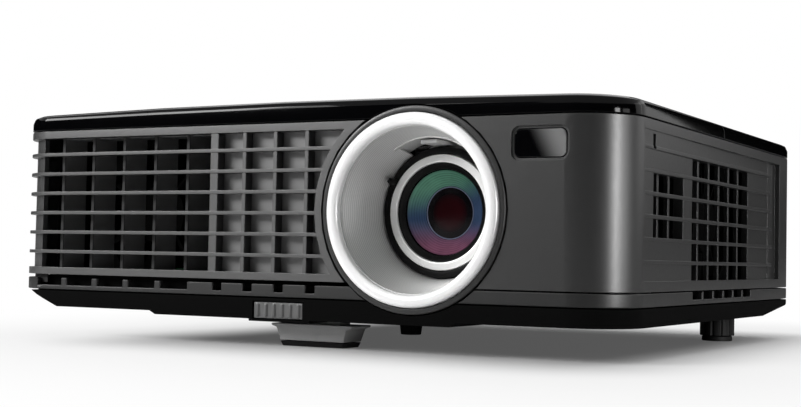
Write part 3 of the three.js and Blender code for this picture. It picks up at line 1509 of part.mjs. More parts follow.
// One blade: a thin section lofted from the hub to the tip while its pitch eases off.
function fanBlade(tip, front, back, angle) {
  const stations = 3;
  const middle = (front + back) / 2;
  const chord = back - front;
  const rings = span(stations).map((station) => {
    const share = station / (stations - 1);
    const radius = fanHubRadius - fanMotorGap + (tip - fanHubRadius + fanMotorGap) * share;
    const pitch = radians(fanBladePitch + fanBladePitch * share / 2);
    const half = chord / 2 - fanBladeThickness / 2;
    const sweep = Math.tan(pitch) * half;
    const corners = [
      [-sweep - fanBladeThickness / 2, -half], [-sweep + fanBladeThickness / 2, -half],
      [sweep + fanBladeThickness / 2, half], [sweep - fanBladeThickness / 2, half],
    ];
    return corners.map(([across, along]) => {
      const turn = angle + across / radius;
      return new THREE.Vector3(radius * Math.sin(turn), middle + along, radius * Math.cos(turn));
    });
  });
  return loft(rings);
}

// Moves a solid by way of its geometry, after an optional quarter turn about Z.
function place(body, x, y, z, quarterTurn = 0) {
  const geometry = geometryOf(body);
  geometry.rotateZ(quarterTurn * Math.PI / 2);
  geometry.translate(x, y, z);
  return solid(geometry);
}

function makeFans() {
  const exhaust = fanSolids(exhaustSize, exhaustThickness);
  const exhaustY = frontY + exhaustFromFront + exhaustThickness / 2;
  const stand = (left, right, y0, y1, size) => block(left, right, y0, y1,
    trayFloor + wall + fit, fanZ - size / 2 + overrun);
  const exhaustFoot = stand(exhaustX - exhaustSize / 4, exhaustX + exhaustSize / 4,
    exhaustY - exhaustThickness / 2, exhaustY + exhaustThickness / 2, exhaustSize);
  add('exhaust_fan_frame', place(exhaust.frame, exhaustX, exhaustY, fanZ).add(exhaustFoot),
    darkPlastic);
  add('exhaust_fan_rotor', place(exhaust.rotor, exhaustX, exhaustY, fanZ), blackPlastic);
  const intake = fanSolids(intakeSize, intakeThickness);
  const intakeX = halfWidth - intakeFromSide - intakeThickness / 2;
  const intakeY = frontY + intakeFromFront;
  const intakeFoot = stand(intakeX - intakeThickness / 2, intakeX + intakeThickness / 2,
    intakeY - intakeSize / 4, intakeY + intakeSize / 4, intakeSize);
  add('intake_fan_frame', place(intake.frame, intakeX, intakeY, fanZ, 1).add(intakeFoot),
    darkPlastic);
  add('intake_fan_rotor', place(intake.rotor, intakeX, intakeY, fanZ, 1), blackPlastic);
}

// Main board behind the sockets and power board at the front left, on their posts.
function makeBoards() {
  const rear = rearY - bayDepth - bayWall - fit;
  const top = boardHeight + boardThickness;
  const mainPlate = block(mainBoardLeft, mainBoardRight, mainBoardFront, rear - socketBehind,
    boardHeight, top);
  const chips = [-1, 1].map((side) => {
    const x = (mainBoardLeft + mainBoardRight) / 2 + side * chipSize;
    return block(x - chipSize / 2, x + chipSize / 2, mainBoardFront + chipSize,
      mainBoardFront + 2 * chipSize, top - fit, top + chipHeight);
  });
  const edge = block(bayLeft, bayRight, rear - socketBehind - overrun, rear, boardHeight,
    top);
  add('main_board', join([mainPlate, ...chips, edge]), boardGreen);
  const powerPlate = block(powerBoardLeft, powerBoardRight, powerBoardFront, powerBoardRear,
    boardHeight, top);
  const coilX = powerBoardLeft + coilSize;
  const coilPitch = 3 * coilSize / 2;
  const coils = span(2).map((index) => block(coilX + index * coilPitch,
    coilX + index * coilPitch + coilSize, powerBoardFront + coilSize / 2,
    powerBoardFront + 3 * coilSize / 2, top - fit, top + coilHeight));
  const capacitor = bar('z', powerBoardRight - coilSize / 2, powerBoardRear - coilSize / 2,
    capacitorRadius, top - fit, top + capacitorHeight, 5);
  add('power_board', join([powerPlate, ...coils, capacitor]), boardGreen);
}

makeCovers();
makeGrille();
makeLouvres();
makeRightPanel();
makeLeftPanel();
makeBaseBand();
makeTray();
makeElevator();
makeRearFeet();
makeLensNest();
makeLensBarrel();
makeKeypad();
makeRear();
makeEngine();
makeLamp();
makeFans();
makeBoards();

export default projector;
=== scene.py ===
"""Portable projector: finished surfaces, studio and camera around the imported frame.

Lengths are in millimetres in the frame of the part, with the lens looking along -Y,
+X to the right as seen from the front and z = 0 under the feet. They become metres
only when a mesh is written.
"""

import json
import logging
import math
from dataclasses import dataclass, field, replace
from enum import Enum

import bmesh
import bpy
import numpy as np
from mathutils import Matrix, Vector


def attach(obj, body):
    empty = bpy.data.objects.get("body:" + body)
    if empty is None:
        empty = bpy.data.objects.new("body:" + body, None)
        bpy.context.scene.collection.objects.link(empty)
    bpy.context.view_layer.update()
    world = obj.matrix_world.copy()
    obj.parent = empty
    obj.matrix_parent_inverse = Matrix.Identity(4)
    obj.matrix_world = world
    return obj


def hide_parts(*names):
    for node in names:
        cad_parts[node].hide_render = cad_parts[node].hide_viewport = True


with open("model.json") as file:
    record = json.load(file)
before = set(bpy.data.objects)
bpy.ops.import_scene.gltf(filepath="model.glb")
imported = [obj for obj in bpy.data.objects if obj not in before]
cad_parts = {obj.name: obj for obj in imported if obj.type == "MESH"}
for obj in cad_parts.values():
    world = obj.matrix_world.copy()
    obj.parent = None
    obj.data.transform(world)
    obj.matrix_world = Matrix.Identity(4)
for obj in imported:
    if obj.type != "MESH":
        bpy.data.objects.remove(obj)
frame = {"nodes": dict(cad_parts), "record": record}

log = logging.getLogger("projector")

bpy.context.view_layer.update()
MM = 0.001
FULL_TURN = 2 * math.pi
Pair = tuple[float, float]
Triple = tuple[float, float, float]
Faces = list[tuple[int, ...]]

# From screen levels to linear light: straight up to the knee, and a power above it
SCREEN_LEVELS = 255
SCREEN_KNEE, SCREEN_SLOPE = 0.04045, 12.92
SCREEN_LIFT, SCREEN_POWER = 0.055, 2.4

# How many finer layers lie on a noise
WAVE_DETAIL, PLAIN_DETAIL, FINE_DETAIL, DUST_DETAIL = 1.0, 2.0, 3.0, 4.0

# The Mix node's places for colours: its share, its two ends and its result
MIX_INPUTS, MIX_RESULT = (0, 6, 7), 2


def tone(red: int, green: int, blue: int) -> Triple:
    """Turns a colour as a screen shows it, 0 to 255 a channel, into linear light.

    Args:
        red: Red on the screen.
        green: Green on the screen.
        blue: Blue on the screen.

    Returns:
        The three linear shares.
    """
    shares = np.array([red, green, blue]) / SCREEN_LEVELS
    low = shares / SCREEN_SLOPE
    high = ((shares + SCREEN_LIFT) / (1 + SCREEN_LIFT)) ** SCREEN_POWER
    return tuple(float(v) for v in np.where(shares <= SCREEN_KNEE, low, high))


def grey(level: int) -> Triple:
    """A neutral colour from one screen level."""
    return tone(level, level, level)


# Shader expressions


class Flow:
    """A socket of a node tree that can be used in sums like a number."""

    def __init__(self, graph: "Graph", socket: bpy.types.NodeSocket) -> None:
        """Keeps the socket and the graph that it belongs to."""
        self.graph = graph
        self.socket = socket

    def _sum(
        self, operation: str, first: "Flow | float", second: "Flow | float | None" = None
    ) -> "Flow":
        """Adds one Math node.

        Args:
            operation: The Math node's operation.
            first: Its first number or flow.
            second: Its second, where it takes two.

        Returns:
            The result.
        """
        inputs = {0: first} if second is None else {0: first, 1: second}
        return self.graph.node("ShaderNodeMath", {"operation": operation}, inputs)

    def __add__(self, other: "Flow | float") -> "Flow":
        """Adds."""
        return self._sum("ADD", self, other)

    __radd__ = __add__

    def __sub__(self, other: "Flow | float") -> "Flow":
        """Takes away."""
        return self._sum("SUBTRACT", self, other)

    def __rsub__(self, other: "Flow | float") -> "Flow":
        """Takes this away from a number."""
        return self._sum("SUBTRACT", other, self)

    def __mul__(self, other: "Flow | float") -> "Flow":
        """Multiplies."""
        return self._sum("MULTIPLY", self, other)

    __rmul__ = __mul__

    def __truediv__(self, other: "Flow | float") -> "Flow":
        """Divides."""
        return self._sum("DIVIDE", self, other)

    def __gt__(self, other: "Flow | float") -> "Flow":
        """One where this is larger, nought elsewhere."""
        return self._sum("GREATER_THAN", self, other)

    def __lt__(self, other: "Flow | float") -> "Flow":
        """One where this is smaller, nought elsewhere."""
        return self._sum("LESS_THAN", self, other)

    def sine(self) -> "Flow":
        """The sine of an angle in radians."""
        return self._sum("SINE", self)

    def size(self) -> "Flow":
        """The number without its sign."""
        return self._sum("ABSOLUTE", self)

    def root(self) -> "Flow":
        """The square root."""
        return self._sum("SQRT", self)

    def least(self, low: float) -> "Flow":
        """The number, or the given one where that is larger."""
        return self._sum("MAXIMUM", self, low)

    def part(self) -> "Flow":
        """What is left after the whole number below."""
        return self._sum("FRACT", self)

    def within(self, reach: float) -> "Flow":
        """One where the number is nearer to nought than the reach."""
        return self.size() < reach

    def wave(self, pitch: float) -> "Flow":
        """A sine of the given pitch that runs between nought and one."""
        return (self * (FULL_TURN / pitch)).sine() * 0.5 + 0.5

    def ramp(self, low: float, high: float) -> "Flow":
        """Rises smoothly from nought to one between two values.

        Args:
            low: Where it leaves nought.
            high: Where it reaches one.

        Returns:
            The share.
        """
        return self.graph.node(
            "ShaderNodeMapRange",
            {"interpolation_type": "SMOOTHSTEP"},
            {0: self, 1: low, 2: high, 3: 0.0, 4: 1.0},
        )


class Graph:
    """The node tree of one material or of the world."""

    def __init__(self, tree: bpy.types.NodeTree) -> None:
        """Empties the tree."""
        self.tree = tree
        tree.nodes.clear()

    def node(
        self,
        kind: str,
        settings: dict | None = None,
        inputs: dict | None = None,
        output: int | str = 0,
    ) -> Flow:
        """Adds a node with its settings first, then what its sockets hold.

        Args:
            kind: The node's type.
            settings: Its own settings, such as a Math node's operation.
            inputs: Numbers, colours or flows by socket name or place.
            output: The socket that is handed back.

        Returns:
            That socket as a flow.
        """
        made = self.tree.nodes.new(kind)
        for key, value in (settings or {}).items():
            setattr(made, key, value)
        for key, value in (inputs or {}).items():
            if isinstance(value, Flow):
                self.tree.links.new(value.socket, made.inputs[key])
            else:
                made.inputs[key].default_value = value
        return Flow(self, made.outputs[output] if len(made.outputs) else None)

    def place(self, centre: Triple = (0, 0, 0)) -> Flow:
        """The point of the surface in millimetres from a centre.

        Args:
            centre: Where the pattern's own origin lies, in millimetres.

        Returns:
            The vector.
        """
        point = self.node("ShaderNodeTexCoord", output="Object")
        return self.node(
            "ShaderNodeMapping",
            {"vector_type": "POINT"},
            {
                "Vector": point,
                "Scale": (1 / MM,) * 3,
                "Location": tuple(-v for v in centre),
            },
        )

    def axes(self, point: Flow) -> tuple[Flow, Flow, Flow]:
        """Splits a vector into its three numbers.

        Args:
            point: The vector.

        Returns:
            Its X, Y and Z.
        """
        made = self.node("ShaderNodeSeparateXYZ", inputs={0: point})
        outputs = made.socket.node.outputs
        return tuple(Flow(self, outputs[name]) for name in "XYZ")

    def noise(self, point: Flow, pitch: float, detail: float = PLAIN_DETAIL) -> Flow:
        """Smooth grain.

        Args:
            point: Where on the piece, in millimetres.
            pitch: The size of one grain in millimetres.
            detail: How many finer layers lie on it.

        Returns:
            A number about one half.
        """
        inputs = {"Vector": point, "Scale": 1 / pitch, "Detail": detail}
        return self.node("ShaderNodeTexNoise", inputs=inputs)

    def mix(self, share: Flow, first: Flow | Triple, second: Flow | Triple) -> Flow:
        """Blends two colours.

        Args:
            share: How much of the second there is.
            first: The first colour or flow.
            second: The second colour or flow.

        Returns:
            The blend.
        """
        ends = [end if isinstance(end, Flow) else (*end, 1.0) for end in (first, second)]
        inputs = dict(zip(MIX_INPUTS, (share, *ends)))
        return self.node("ShaderNodeMix", {"data_type": "RGBA"}, inputs, MIX_RESULT)

    def bump(self, height: Flow, depth: float) -> Flow:
        """Turns a height into a tilted normal.

        Args:
            height: The height, nought to one.
            depth: What one is worth, in millimetres.

        Returns:
            The normal.
        """
        inputs = {"Height": height, "Distance": depth * MM, "Strength": 1.0}
        return self.node("ShaderNodeBump", inputs=inputs)


# Finishes

BLACK = (0.0, 0.0, 0.0)
NOISE_MIDDLE = 0.5


def scaled(colour: Triple, share: float) -> Triple:
    """A colour with every channel taken times a share."""
    return tuple(v * share for v in colour)


def fresh_material(name: str) -> tuple[bpy.types.Material, Graph]:
    """Makes a material whose node tree is empty.

    Args:
        name: The material's name.

    Returns:
        The material and its graph.
    """
    made = bpy.data.materials.new(name)
    made.use_nodes = True
    return made, Graph(made.node_tree)


@dataclass(frozen=True)
class Finish:
    """What every finish has: its name and the numbers that are the same all over."""

    name: str
    colour: Triple
    roughness: float
    metallic: float = 0.0
    specular: float = 0.5

    def vary(self, graph: Graph) -> dict[str, Flow]:
        """What changes over the surface.

        Args:
            graph: The material's node tree.

        Returns:
            The flows by socket name.
        """
        return {}

    def drifting(self, noise: Flow, spread: float) -> Flow:
        """The roughness, moved up and down by a noise."""
        return self.roughness + (noise - NOISE_MIDDLE) * spread

    def material(self) -> bpy.types.Material:
        """The material, made the first time that it is asked for.

        Returns:
            The material.
        """
        found = bpy.data.materials.get(self.name)
        if found is not None:
            return found
        made, graph = fresh_material(self.name)
        sockets = {
            "Base Color": (*self.colour, 1.0),
            "Roughness": self.roughness,
            "Metallic": self.metallic,
            "Specular IOR Level": self.specular,
        }
        sockets.update(self.vary(graph))
        shader = graph.node("ShaderNodeBsdfPrincipled", inputs=sockets)
        graph.node("ShaderNodeOutputMaterial", inputs={"Surface": shader})
        return made


@dataclass(frozen=True)
class MouldedPlastic(Finish):
    """Plastic with the fine spark-eroded grain of its mould."""

    grain: float = 0.55
    depth: float = 0.02
    mottle: float = 0.06
    cloud_pitch: float = 23.0
    cloud_share: float = 0.6
    fleck_pitch: float = 1.7
    fleck_share: float = 0.4
    gloss_spread: float = 0.08

    def vary(self, graph: Graph) -> dict[str, Flow]:
        """Grain in the normal, faint mottling in colour and gloss.

        Args:
            graph: The material's node tree.

        Returns:
            The flows by socket name.
        """
        point = graph.place()
        grain = graph.noise(point, self.grain)
        cloud = graph.noise(point, self.cloud_pitch, FINE_DETAIL)
        fleck = graph.noise(point, self.fleck_pitch)
        patches = cloud * self.cloud_share + fleck * self.fleck_share
        dark, light = scaled(self.colour, 1 - self.mottle), scaled(self.colour, 1 + self.mottle)
        return {
            "Base Color": graph.mix(patches, dark, light),
            "Roughness": self.drifting(fleck, self.gloss_spread),
            "Normal": graph.bump(grain, self.depth),
        }


@dataclass(frozen=True)
class DepthShadedPlastic(MouldedPlastic):
    """Moulded plastic with painted light and shade by depth: its front edges have another tone
    than what lies behind them.
    """

    edge_y: float = 0.0
    edge: Triple = (0.05, 0.05, 0.05)
    from_x: float = -1000.0
    shade_ramp: Pair = (0.2, 0.7)
    fade: float = 4.0

    def vary(self, graph: Graph) -> dict[str, Flow]:
        """The painted tone begins half a millimetre behind the edge, and right of from_x.

        Args:
            graph: The material's node tree.

        Returns:
            The flows by socket name.
        """
        flows = super().vary(graph)
        across, along, _ = graph.axes(graph.place())
        behind, inside = along - self.edge_y, across - self.from_x
        # Painted light and shade: how much of the tone behind the front edge there is
        share = behind.ramp(*self.shade_ramp) * inside.ramp(0.0, self.fade)
        flows["Base Color"] = graph.mix(share, self.edge, flows["Base Color"])
        return flows


@dataclass(frozen=True)
class Lacquer(Finish):
    """Deep gloss with the faint waviness of a thick clear coat."""

    wave: float = 9.0
    wave_depth: float = 0.006
    dust_pitch: float = 0.8
    dust_span: Pair = (0.55, 0.8)
    dust_gloss: float = 0.05

    def vary(self, graph: Graph) -> dict[str, Flow]:
        """Slow waves in the normal, and a breath of dust in the gloss.

        Args:
            graph: The material's node tree.

        Returns:
            The flows by socket name.
        """
        point = graph.place()
        dust = graph.noise(point, self.dust_pitch, DUST_DETAIL)
        waves = graph.noise(point, self.wave, WAVE_DETAIL)
        return {
            "Roughness": self.roughness + dust.ramp(*self.dust_span) * self.dust_gloss,
            "Normal": graph.bump(waves, self.wave_depth),
        }


@dataclass(frozen=True)
class TintedPane(Lacquer):
    """A dark glossy pane with a pale slanting reflection painted towards one end."""

    centre: Triple = (0.0, 0.0, 0.0)
    reach: float = 20.0
    painted_reflection: Triple = (0.1, 0.1, 0.1)
    slant: float = 0.5
    growth: Pair = (-0.15, 0.45)
    ending: Pair = (0.52, 0.6)
    end_share: float = 0.7

    def vary(self, graph: Graph) -> dict[str, Flow]:
        """The painted reflection grows along x + slant z, and falls before the pane's corner.

        Args:
            graph: The material's node tree.

        Returns:
            The flows by socket name.
        """
        across, _, up = graph.axes(graph.place(self.centre))
        along = (across + up * self.slant) / self.reach
        share = along.ramp(*self.growth) * (1.0 - along.ramp(*self.ending) * self.end_share)
        flows = super().vary(graph)
        # Painted reflection: the pale slant blended into the pane's colour
        flows["Base Color"] = graph.mix(share, self.colour, self.painted_reflection)
        return flows


@dataclass(frozen=True)
class CastMetal(Finish):
    """Metal with an even skin: a die casting, a pressed shell or plating."""

    skin: float = 0.9
    skin_depth: float = 0.02
    spread: float = 0.12
    drift_pitch: float = 14.0

    def vary(self, graph: Graph) -> dict[str, Flow]:
        """Fine pits in the normal, and gloss that drifts over the piece.

        Args:
            graph: The material's node tree.

        Returns:
            The flows by socket name.
        """
        point = graph.place()
        skin = graph.noise(point, self.skin, FINE_DETAIL)
        drift = graph.noise(point, self.drift_pitch)
        return {
            "Roughness": self.drifting(drift, self.spread),
            "Normal": graph.bump(skin, self.skin_depth),
        }


@dataclass(frozen=True)
class TurnedMetal(Finish):
    """Metal turned on a lathe: rings of the tool's path about one axis along Y."""

    centre: Triple = (0.0, 0.0, 0.0)
    pitch: float = 0.5
    ring_depth: float = 0.02
    shade: float = 0.0
    painted_side_shade: float = 0.0
    painted_side_span: Pair = (-0.3, 0.8)
    drift_pitch: float = 3.0
    gloss_spread: float = 0.1

    def vary(self, graph: Graph) -> dict[str, Flow]:
        """Rings in normal and colour, by the distance along the axis plus that from it.

        A painted shade darkens the side towards -X.

        Args:
            graph: The material's node tree.

        Returns:
            The flows by socket name.
        """
        point = graph.place(self.centre)
        across, along, up = graph.axes(point)
        radius = (across * across + up * up).root()
        rings = (radius + along).wave(self.pitch)
        drift = graph.noise(point, self.drift_pitch, FINE_DETAIL)
        skin = graph.mix(rings, scaled(self.colour, 1 - self.shade), self.colour)
        # Painted shade on the side towards -X
        side = (across * -1.0 / radius).ramp(*self.painted_side_span)
        return {
            "Base Color": graph.mix(side * self.painted_side_shade, skin, BLACK),
            "Roughness": self.drifting(drift, self.gloss_spread),
            "Normal": graph.bump(rings, self.ring_depth),
        }


@dataclass(frozen=True)
class CoatedGlass(Finish):
    """A lens surface with the reflections of its coating painted on: green above, blue beside and
    purple below.
    """

    centre: Triple = (0.0, 0.0, 0.0)
    inner: float = 10.0
    outer: float = 17.0
    # Painted reflection colours of the coating
    above: Triple = tone(96, 150, 126)
    beside: Triple = tone(60, 80, 112)
    below: Triple = tone(128, 80, 104)
    pupil: Triple = tone(34, 5, 9)
    # The colour of the painted highlight round the pupil
    line: Triple = tone(150, 160, 190)
    line_half: float = 0.22
    line_share: float = 0.5
    arc_pitch: float = 0.82
    arc_share: float = 0.35
    soft_pitch: float = 4.0
    soft_share: float = 0.5
    plain_share: float = 0.5
    lean: float = 0.25
    above_span: Pair = (0.05, 0.8)
    below_span: Pair = (-0.15, -0.85)
    light_span: Pair = (-0.9, 1.1)
    light_fall: float = 0.5
    body_in: Pair = (0.0, 0.12)
    body_out: Pair = (0.94, 1.0)
    pupil_span: Pair = (0.45, 0.85)

    def vary(self, graph: Graph) -> dict[str, Flow]:
        """Painted reflection colour from the height beside the axis, in fine arcs of the distance
        from it.

        The painted light falls from left to right. A thin painted highlight runs round the pupil,
        and the pupil is dark red.

        Args:
            graph: The material's node tree.

        Returns:
            The flows by socket name.
        """
        point = graph.place(self.centre)
        across, _, up = graph.axes(point)
        radius = (across * across + up * up).root()
        height, beyond = up / self.outer, radius - self.inner
        lean = height - across / self.outer * self.lean
        # Painted reflections of the coating: blue beside, green above, purple below
        side = graph.mix(lean.ramp(*self.above_span), self.beside, self.above)
        hue = graph.mix(height.ramp(*self.below_span), side, self.below)
        arcs, soft = radius.wave(self.arc_pitch), graph.noise(point, self.soft_pitch)
        share = beyond / (self.outer - self.inner)
        # Painted light, falling from left to right
        lit = 1.0 - (across / self.outer).ramp(*self.light_span) * self.light_fall
        body = share.ramp(*self.body_in) * (1.0 - share.ramp(*self.body_out))
        strength = self.plain_share + arcs * self.arc_share + soft * self.soft_share
        shade = body * lit * strength
        pupil = graph.mix((radius / self.inner).ramp(*self.pupil_span), self.pupil, self.colour)
        under = graph.mix(share > 0.0, pupil, self.colour)
        # Painted highlight: a thin pale ring round the pupil
        line = beyond.within(self.line_half) * lit * self.line_share
        return {"Base Color": graph.mix(line, graph.mix(shade, under, hue), self.line)}


@dataclass(frozen=True)
class DarkGlass(Finish):
    """Glass so dark that only its depth shows a colour."""

    centre: Triple = (0.0, 0.0, 0.0)
    radius: float = 10.0
    depth_colour: Triple = (0.03, 0.0, 0.0)
    rim: Pair = (0.15, 0.95)

    def vary(self, graph: Graph) -> dict[str, Flow]:
        """A darker rim round a faintly coloured middle.

        Args:
            graph: The material's node tree.

        Returns:
            The flows by socket name.
        """
        across, _, up = graph.axes(graph.place(self.centre))
        distance = (across * across + up * up).root()
        share = distance.ramp(*(v * self.radius for v in self.rim))
        return {"Base Color": graph.mix(share, self.depth_colour, self.colour)}


@dataclass(frozen=True)
class CircuitBoard(Finish):
    """Fibre board with its copper runs under green varnish."""

    run_pitch: float = 3.1
    run_from: float = 0.72
    run_depth: float = 0.05
    patch_pitch: float = 19.0
    patch_span: Pair = (0.45, 0.5)
    copper: float = 1.9

    def vary(self, graph: Graph) -> dict[str, Flow]:
        """Runs along X and Y from two sawtooth waves, broken up by a coarse noise.

        Args:
            graph: The material's node tree.

        Returns:
            The flows by socket name.
        """
        point = graph.place()
        x, y, _ = graph.axes(point)
        patch = graph.noise(point, self.patch_pitch).ramp(*self.patch_span)
        along = ((x / self.run_pitch).part() > self.run_from) * patch
        across = ((y / self.run_pitch).part() > self.run_from) * (1.0 - patch)
        runs = along + across
        return {
            "Base Color": graph.mix(runs, self.colour, scaled(self.colour, self.copper)),
            "Normal": graph.bump(runs, self.run_depth),
        }


class Sign(Enum):
    """What is printed on a key."""

    POWER = "power"
    ENTER = "ring"
    UP = "up"
    DOWN = "down"
    LEFT = "left"
    RIGHT = "right"
    MENU = "bars"
    SOURCE = "box"


@dataclass(frozen=True)
class MarkedKey(Finish):
    """A key with a small sign printed on its top."""

    centre: Triple = (0.0, 0.0, 0.0)
    sign: Sign = Sign.ENTER
    ink: Triple = (0.6, 0.6, 0.6)
    grain: float = 0.5
    grain_depth: float = 0.01

    def vary(self, graph: Graph) -> dict[str, Flow]:
        """The sign's outline from distances to the key's middle, over a fine grain.

        Args:
            graph: The material's node tree.

        Returns:
            The flows by socket name.
        """
        x, y, _ = graph.axes(graph.place(self.centre))
        grain = graph.noise(graph.place(), self.grain)
        return {
            "Base Color": graph.mix(self.outline(x, y), self.colour, self.ink),
            "Normal": graph.bump(grain, self.grain_depth),
        }

    def outline(self, x: Flow, y: Flow) -> Flow:
        """Where the ink is.

        Args:
            x: Distance from the middle to the right.
            y: Distance from the middle to the rear.

        Returns:
            One on the ink.
        """
        arrows = {
            Sign.UP: (x, y, 1.0),
            Sign.DOWN: (x, y, -1.0),
            Sign.LEFT: (y, x, -1.0),
            Sign.RIGHT: (y, x, 1.0),
        }
        if self.sign in arrows:
            across, ahead, way = arrows[self.sign]
            return self.arrow(across, ahead * way)
        drawn = {
            Sign.POWER: self.power,
            Sign.ENTER: self.ring,
            Sign.MENU: self.bars,
            Sign.SOURCE: self.box,
        }
        return drawn[self.sign](x, y)

    @staticmethod
    def arrow(across: Flow, ahead: Flow) -> Flow:
        """A triangle with its foot 1.1 mm behind the middle and its tip 1.3 mm ahead."""
        slope = 1.3 - ahead - across.size() * 1.2
        return (slope > 0.0) * (ahead > -1.1)

    @staticmethod
    def power(x: Flow, y: Flow) -> Flow:
        """A ring of 2.5 mm radius that is open at the rear, where a stroke stands in it.

        Args:
            x: Distance from the middle to the right.
            y: Distance from the middle to the rear.

        Returns:
            One on the ink.
        """
        radius, half_line = (x * x + y * y).root(), 0.32
        ring = (radius - 2.5).within(half_line) * (1.0 - (y > 1.2))
        stroke = x.within(half_line) * (y > 0.4) * (y < 3.3)
        return (ring + stroke) > 0.5

    @staticmethod
    def ring(x: Flow, y: Flow) -> Flow:
        """A ring of 1.9 mm radius."""
        return ((x * x + y * y).root() - 1.9).within(0.28)

    @staticmethod
    def bars(x: Flow, y: Flow) -> Flow:
        """Bars 1.5 mm apart within a square of 4.4 mm."""
        rows = ((y / 1.5 + 0.25).part() > 0.55) * y.within(2.2)
        return rows * x.within(2.2)

    @staticmethod
    def box(x: Flow, y: Flow) -> Flow:
        """The outline of a box, 4.2 mm wide and 3.4 mm tall, in a line of half a millimetre.

        Args:
            x: Distance from the middle to the right.
            y: Distance from the middle to the rear.

        Returns:
            One on the ink.
        """
        half_line = 0.25
        sides = (x.size() - 2.1).within(half_line) * y.within(1.9)
        ends = (y.size() - 1.7).within(half_line) * x.within(2.35)
        return (sides + ends) > 0.5


# Surfaces

MOST_OF_EDGE = 0.45


@dataclass
class Skin:
    """A closed surface: points in millimetres and the faces between them."""

    points: np.ndarray
    faces: Faces

    def __add__(self, other: "Skin") -> "Skin":
        """Both surfaces as one.

        Args:
            other: The second surface.

        Returns:
            The pair, not joined where they meet.
        """
        shift = len(self.points)
        moved = [tuple(v + shift for v in face) for face in other.faces]
        return Skin(np.vstack([self.points, other.points]), self.faces + moved)


def grid_faces(rows: int, columns: int, ring: bool = False, loop: bool = False) -> Faces:
    """Faces between the neighbouring points of a grid.

    Args:
        rows: How many rows of points there are.
        columns: How many points are in a row.
        ring: Whether the last row joins the first.
        loop: Whether the last column joins the first.

    Returns:
        Four point numbers for each face.
    """
    row = np.arange(rows if ring else rows - 1)
    column = np.arange(columns if loop else columns - 1)
    r, c = (axis.ravel() for axis in np.meshgrid(row, column, indexing="ij"))
    below, beside = (r + 1) % rows, (c + 1) % columns
    corners = [r * columns + c, below * columns + c]
    corners += [below * columns + beside, r * columns + beside]
    return list(map(tuple, np.stack(corners, axis=1).tolist()))


def end_faces(rows: int, count: int) -> Faces:
    """The two faces that close a grid's first and last rows."""
    last = range(rows * count - 1, (rows - 1) * count - 1, -1)
    return [tuple(range(count)), tuple(last)]


def soften(outline: list[Pair], radius: float | list[float], steps: int = 4) -> np.ndarray:
    """Rounds every corner of a closed outline.

    Each corner P gives way to the curve (1-s)²A + 2s(1-s)P + s²B between the points A
    and B that lie a radius before and after it, or 45% of the edge where it is shorter.

    Args:
        outline: The corners, two numbers each.
        radius: One length for all corners, or one for each.
        steps: How many points each curve has.

    Returns:
        The rounded outline.
    """
    corner = np.asarray(outline, dtype=float)
    before, after = np.roll(corner, 1, axis=0) - corner, np.roll(corner, -1, axis=0) - corner
    reach = np.broadcast_to(np.asarray(radius, dtype=float), len(corner))
    length = [np.linalg.norm(edge, axis=1) for edge in (before, after)]
    share = [np.minimum(reach, MOST_OF_EDGE * size) / size for size in length]
    first = corner + before * share[0][:, None]
    last = corner + after * share[1][:, None]
    s = np.linspace(0, 1, steps)[None, :, None]
    leaving, turning, arriving = (1 - s) ** 2, 2 * s * (1 - s), s**2
    curve = leaving * first[:, None] + turning * corner[:, None] + arriving * last[:, None]
    return curve.reshape(-1, 2)


def lathe(
    profile: np.ndarray,
    axis: Pair,
    steps: int = 144,
    spread: Pair | None = None,
) -> Skin:
    """Turns a closed profile about a line along Y.

    The point at angle a of the profile's (r, y) is (x0 + r cos a, y, z0 + r sin a).

    Args:
        profile: Radius and y of each point, in order round the profile.
        axis: X and Z of the line.
        steps: How many places round the line there are.
        spread: First and last angle where it isn't a full turn.

    Returns:
        The surface, with its ends closed where it isn't a full turn.
    """
    full = spread is None
    angle = np.linspace(*(spread or (0, FULL_TURN)), steps, endpoint=not full)
    radius, y = profile[:, 0], profile[:, 1]
    points = np.stack(
        [
            axis[0] + np.outer(np.cos(angle), radius),
            np.broadcast_to(y, (steps, len(y))),
            axis[1] + np.outer(np.sin(angle), radius),
        ],
        axis=-1,
    ).reshape(-1, 3)
    faces = grid_faces(steps, len(profile), ring=full, loop=True)
    if not full:
        faces += end_faces(steps, len(profile))
    return Skin(points, faces)


def carried(section: np.ndarray, path: np.ndarray, side: np.ndarray, rise: np.ndarray) -> Skin:
    """Carries a closed section along a path.

    The point (u, v) of the section at place i is path_i + u side_i + v rise_i.

    Args:
        section: The section's points, two numbers each.
        path: Where its origin goes.
        side: Its first direction at each place.
        rise: Its second direction at each place.

    Returns:
        The surface, closed at both ends.
    """
    u, v = section[:, 0], section[:, 1]
    points = path[:, None] + u[None, :, None] * side[:, None] + v[None, :, None] * rise[:, None]
    rows, count = points.shape[:2]
    faces = grid_faces(rows, count, loop=True) + end_faces(rows, count)
    return Skin(points.reshape(-1, 3), faces)


def stacked(outline: np.ndarray, layers: np.ndarray, centre: Pair) -> Skin:
    """Stacks an outline in layers that shrink towards its centre.

    The point of layer (share, z) is centre + share (outline - centre) at height z; a
    share of nought closes the stack.

    Args:
        outline: The outline seen from above.
        layers: The share and the height of each layer.
        centre: X and Y of the middle.

    Returns:
        The closed surface.
    """
    middle = np.array(centre)
    flat = middle + layers[:, 0][:, None, None] * (outline - middle)[None]
    height = np.broadcast_to(layers[:, 1][:, None, None], flat.shape[:2] + (1,))
    points = np.concatenate([flat, height], axis=-1).reshape(-1, 3)
    return Skin(points, grid_faces(len(layers), len(outline), loop=True))


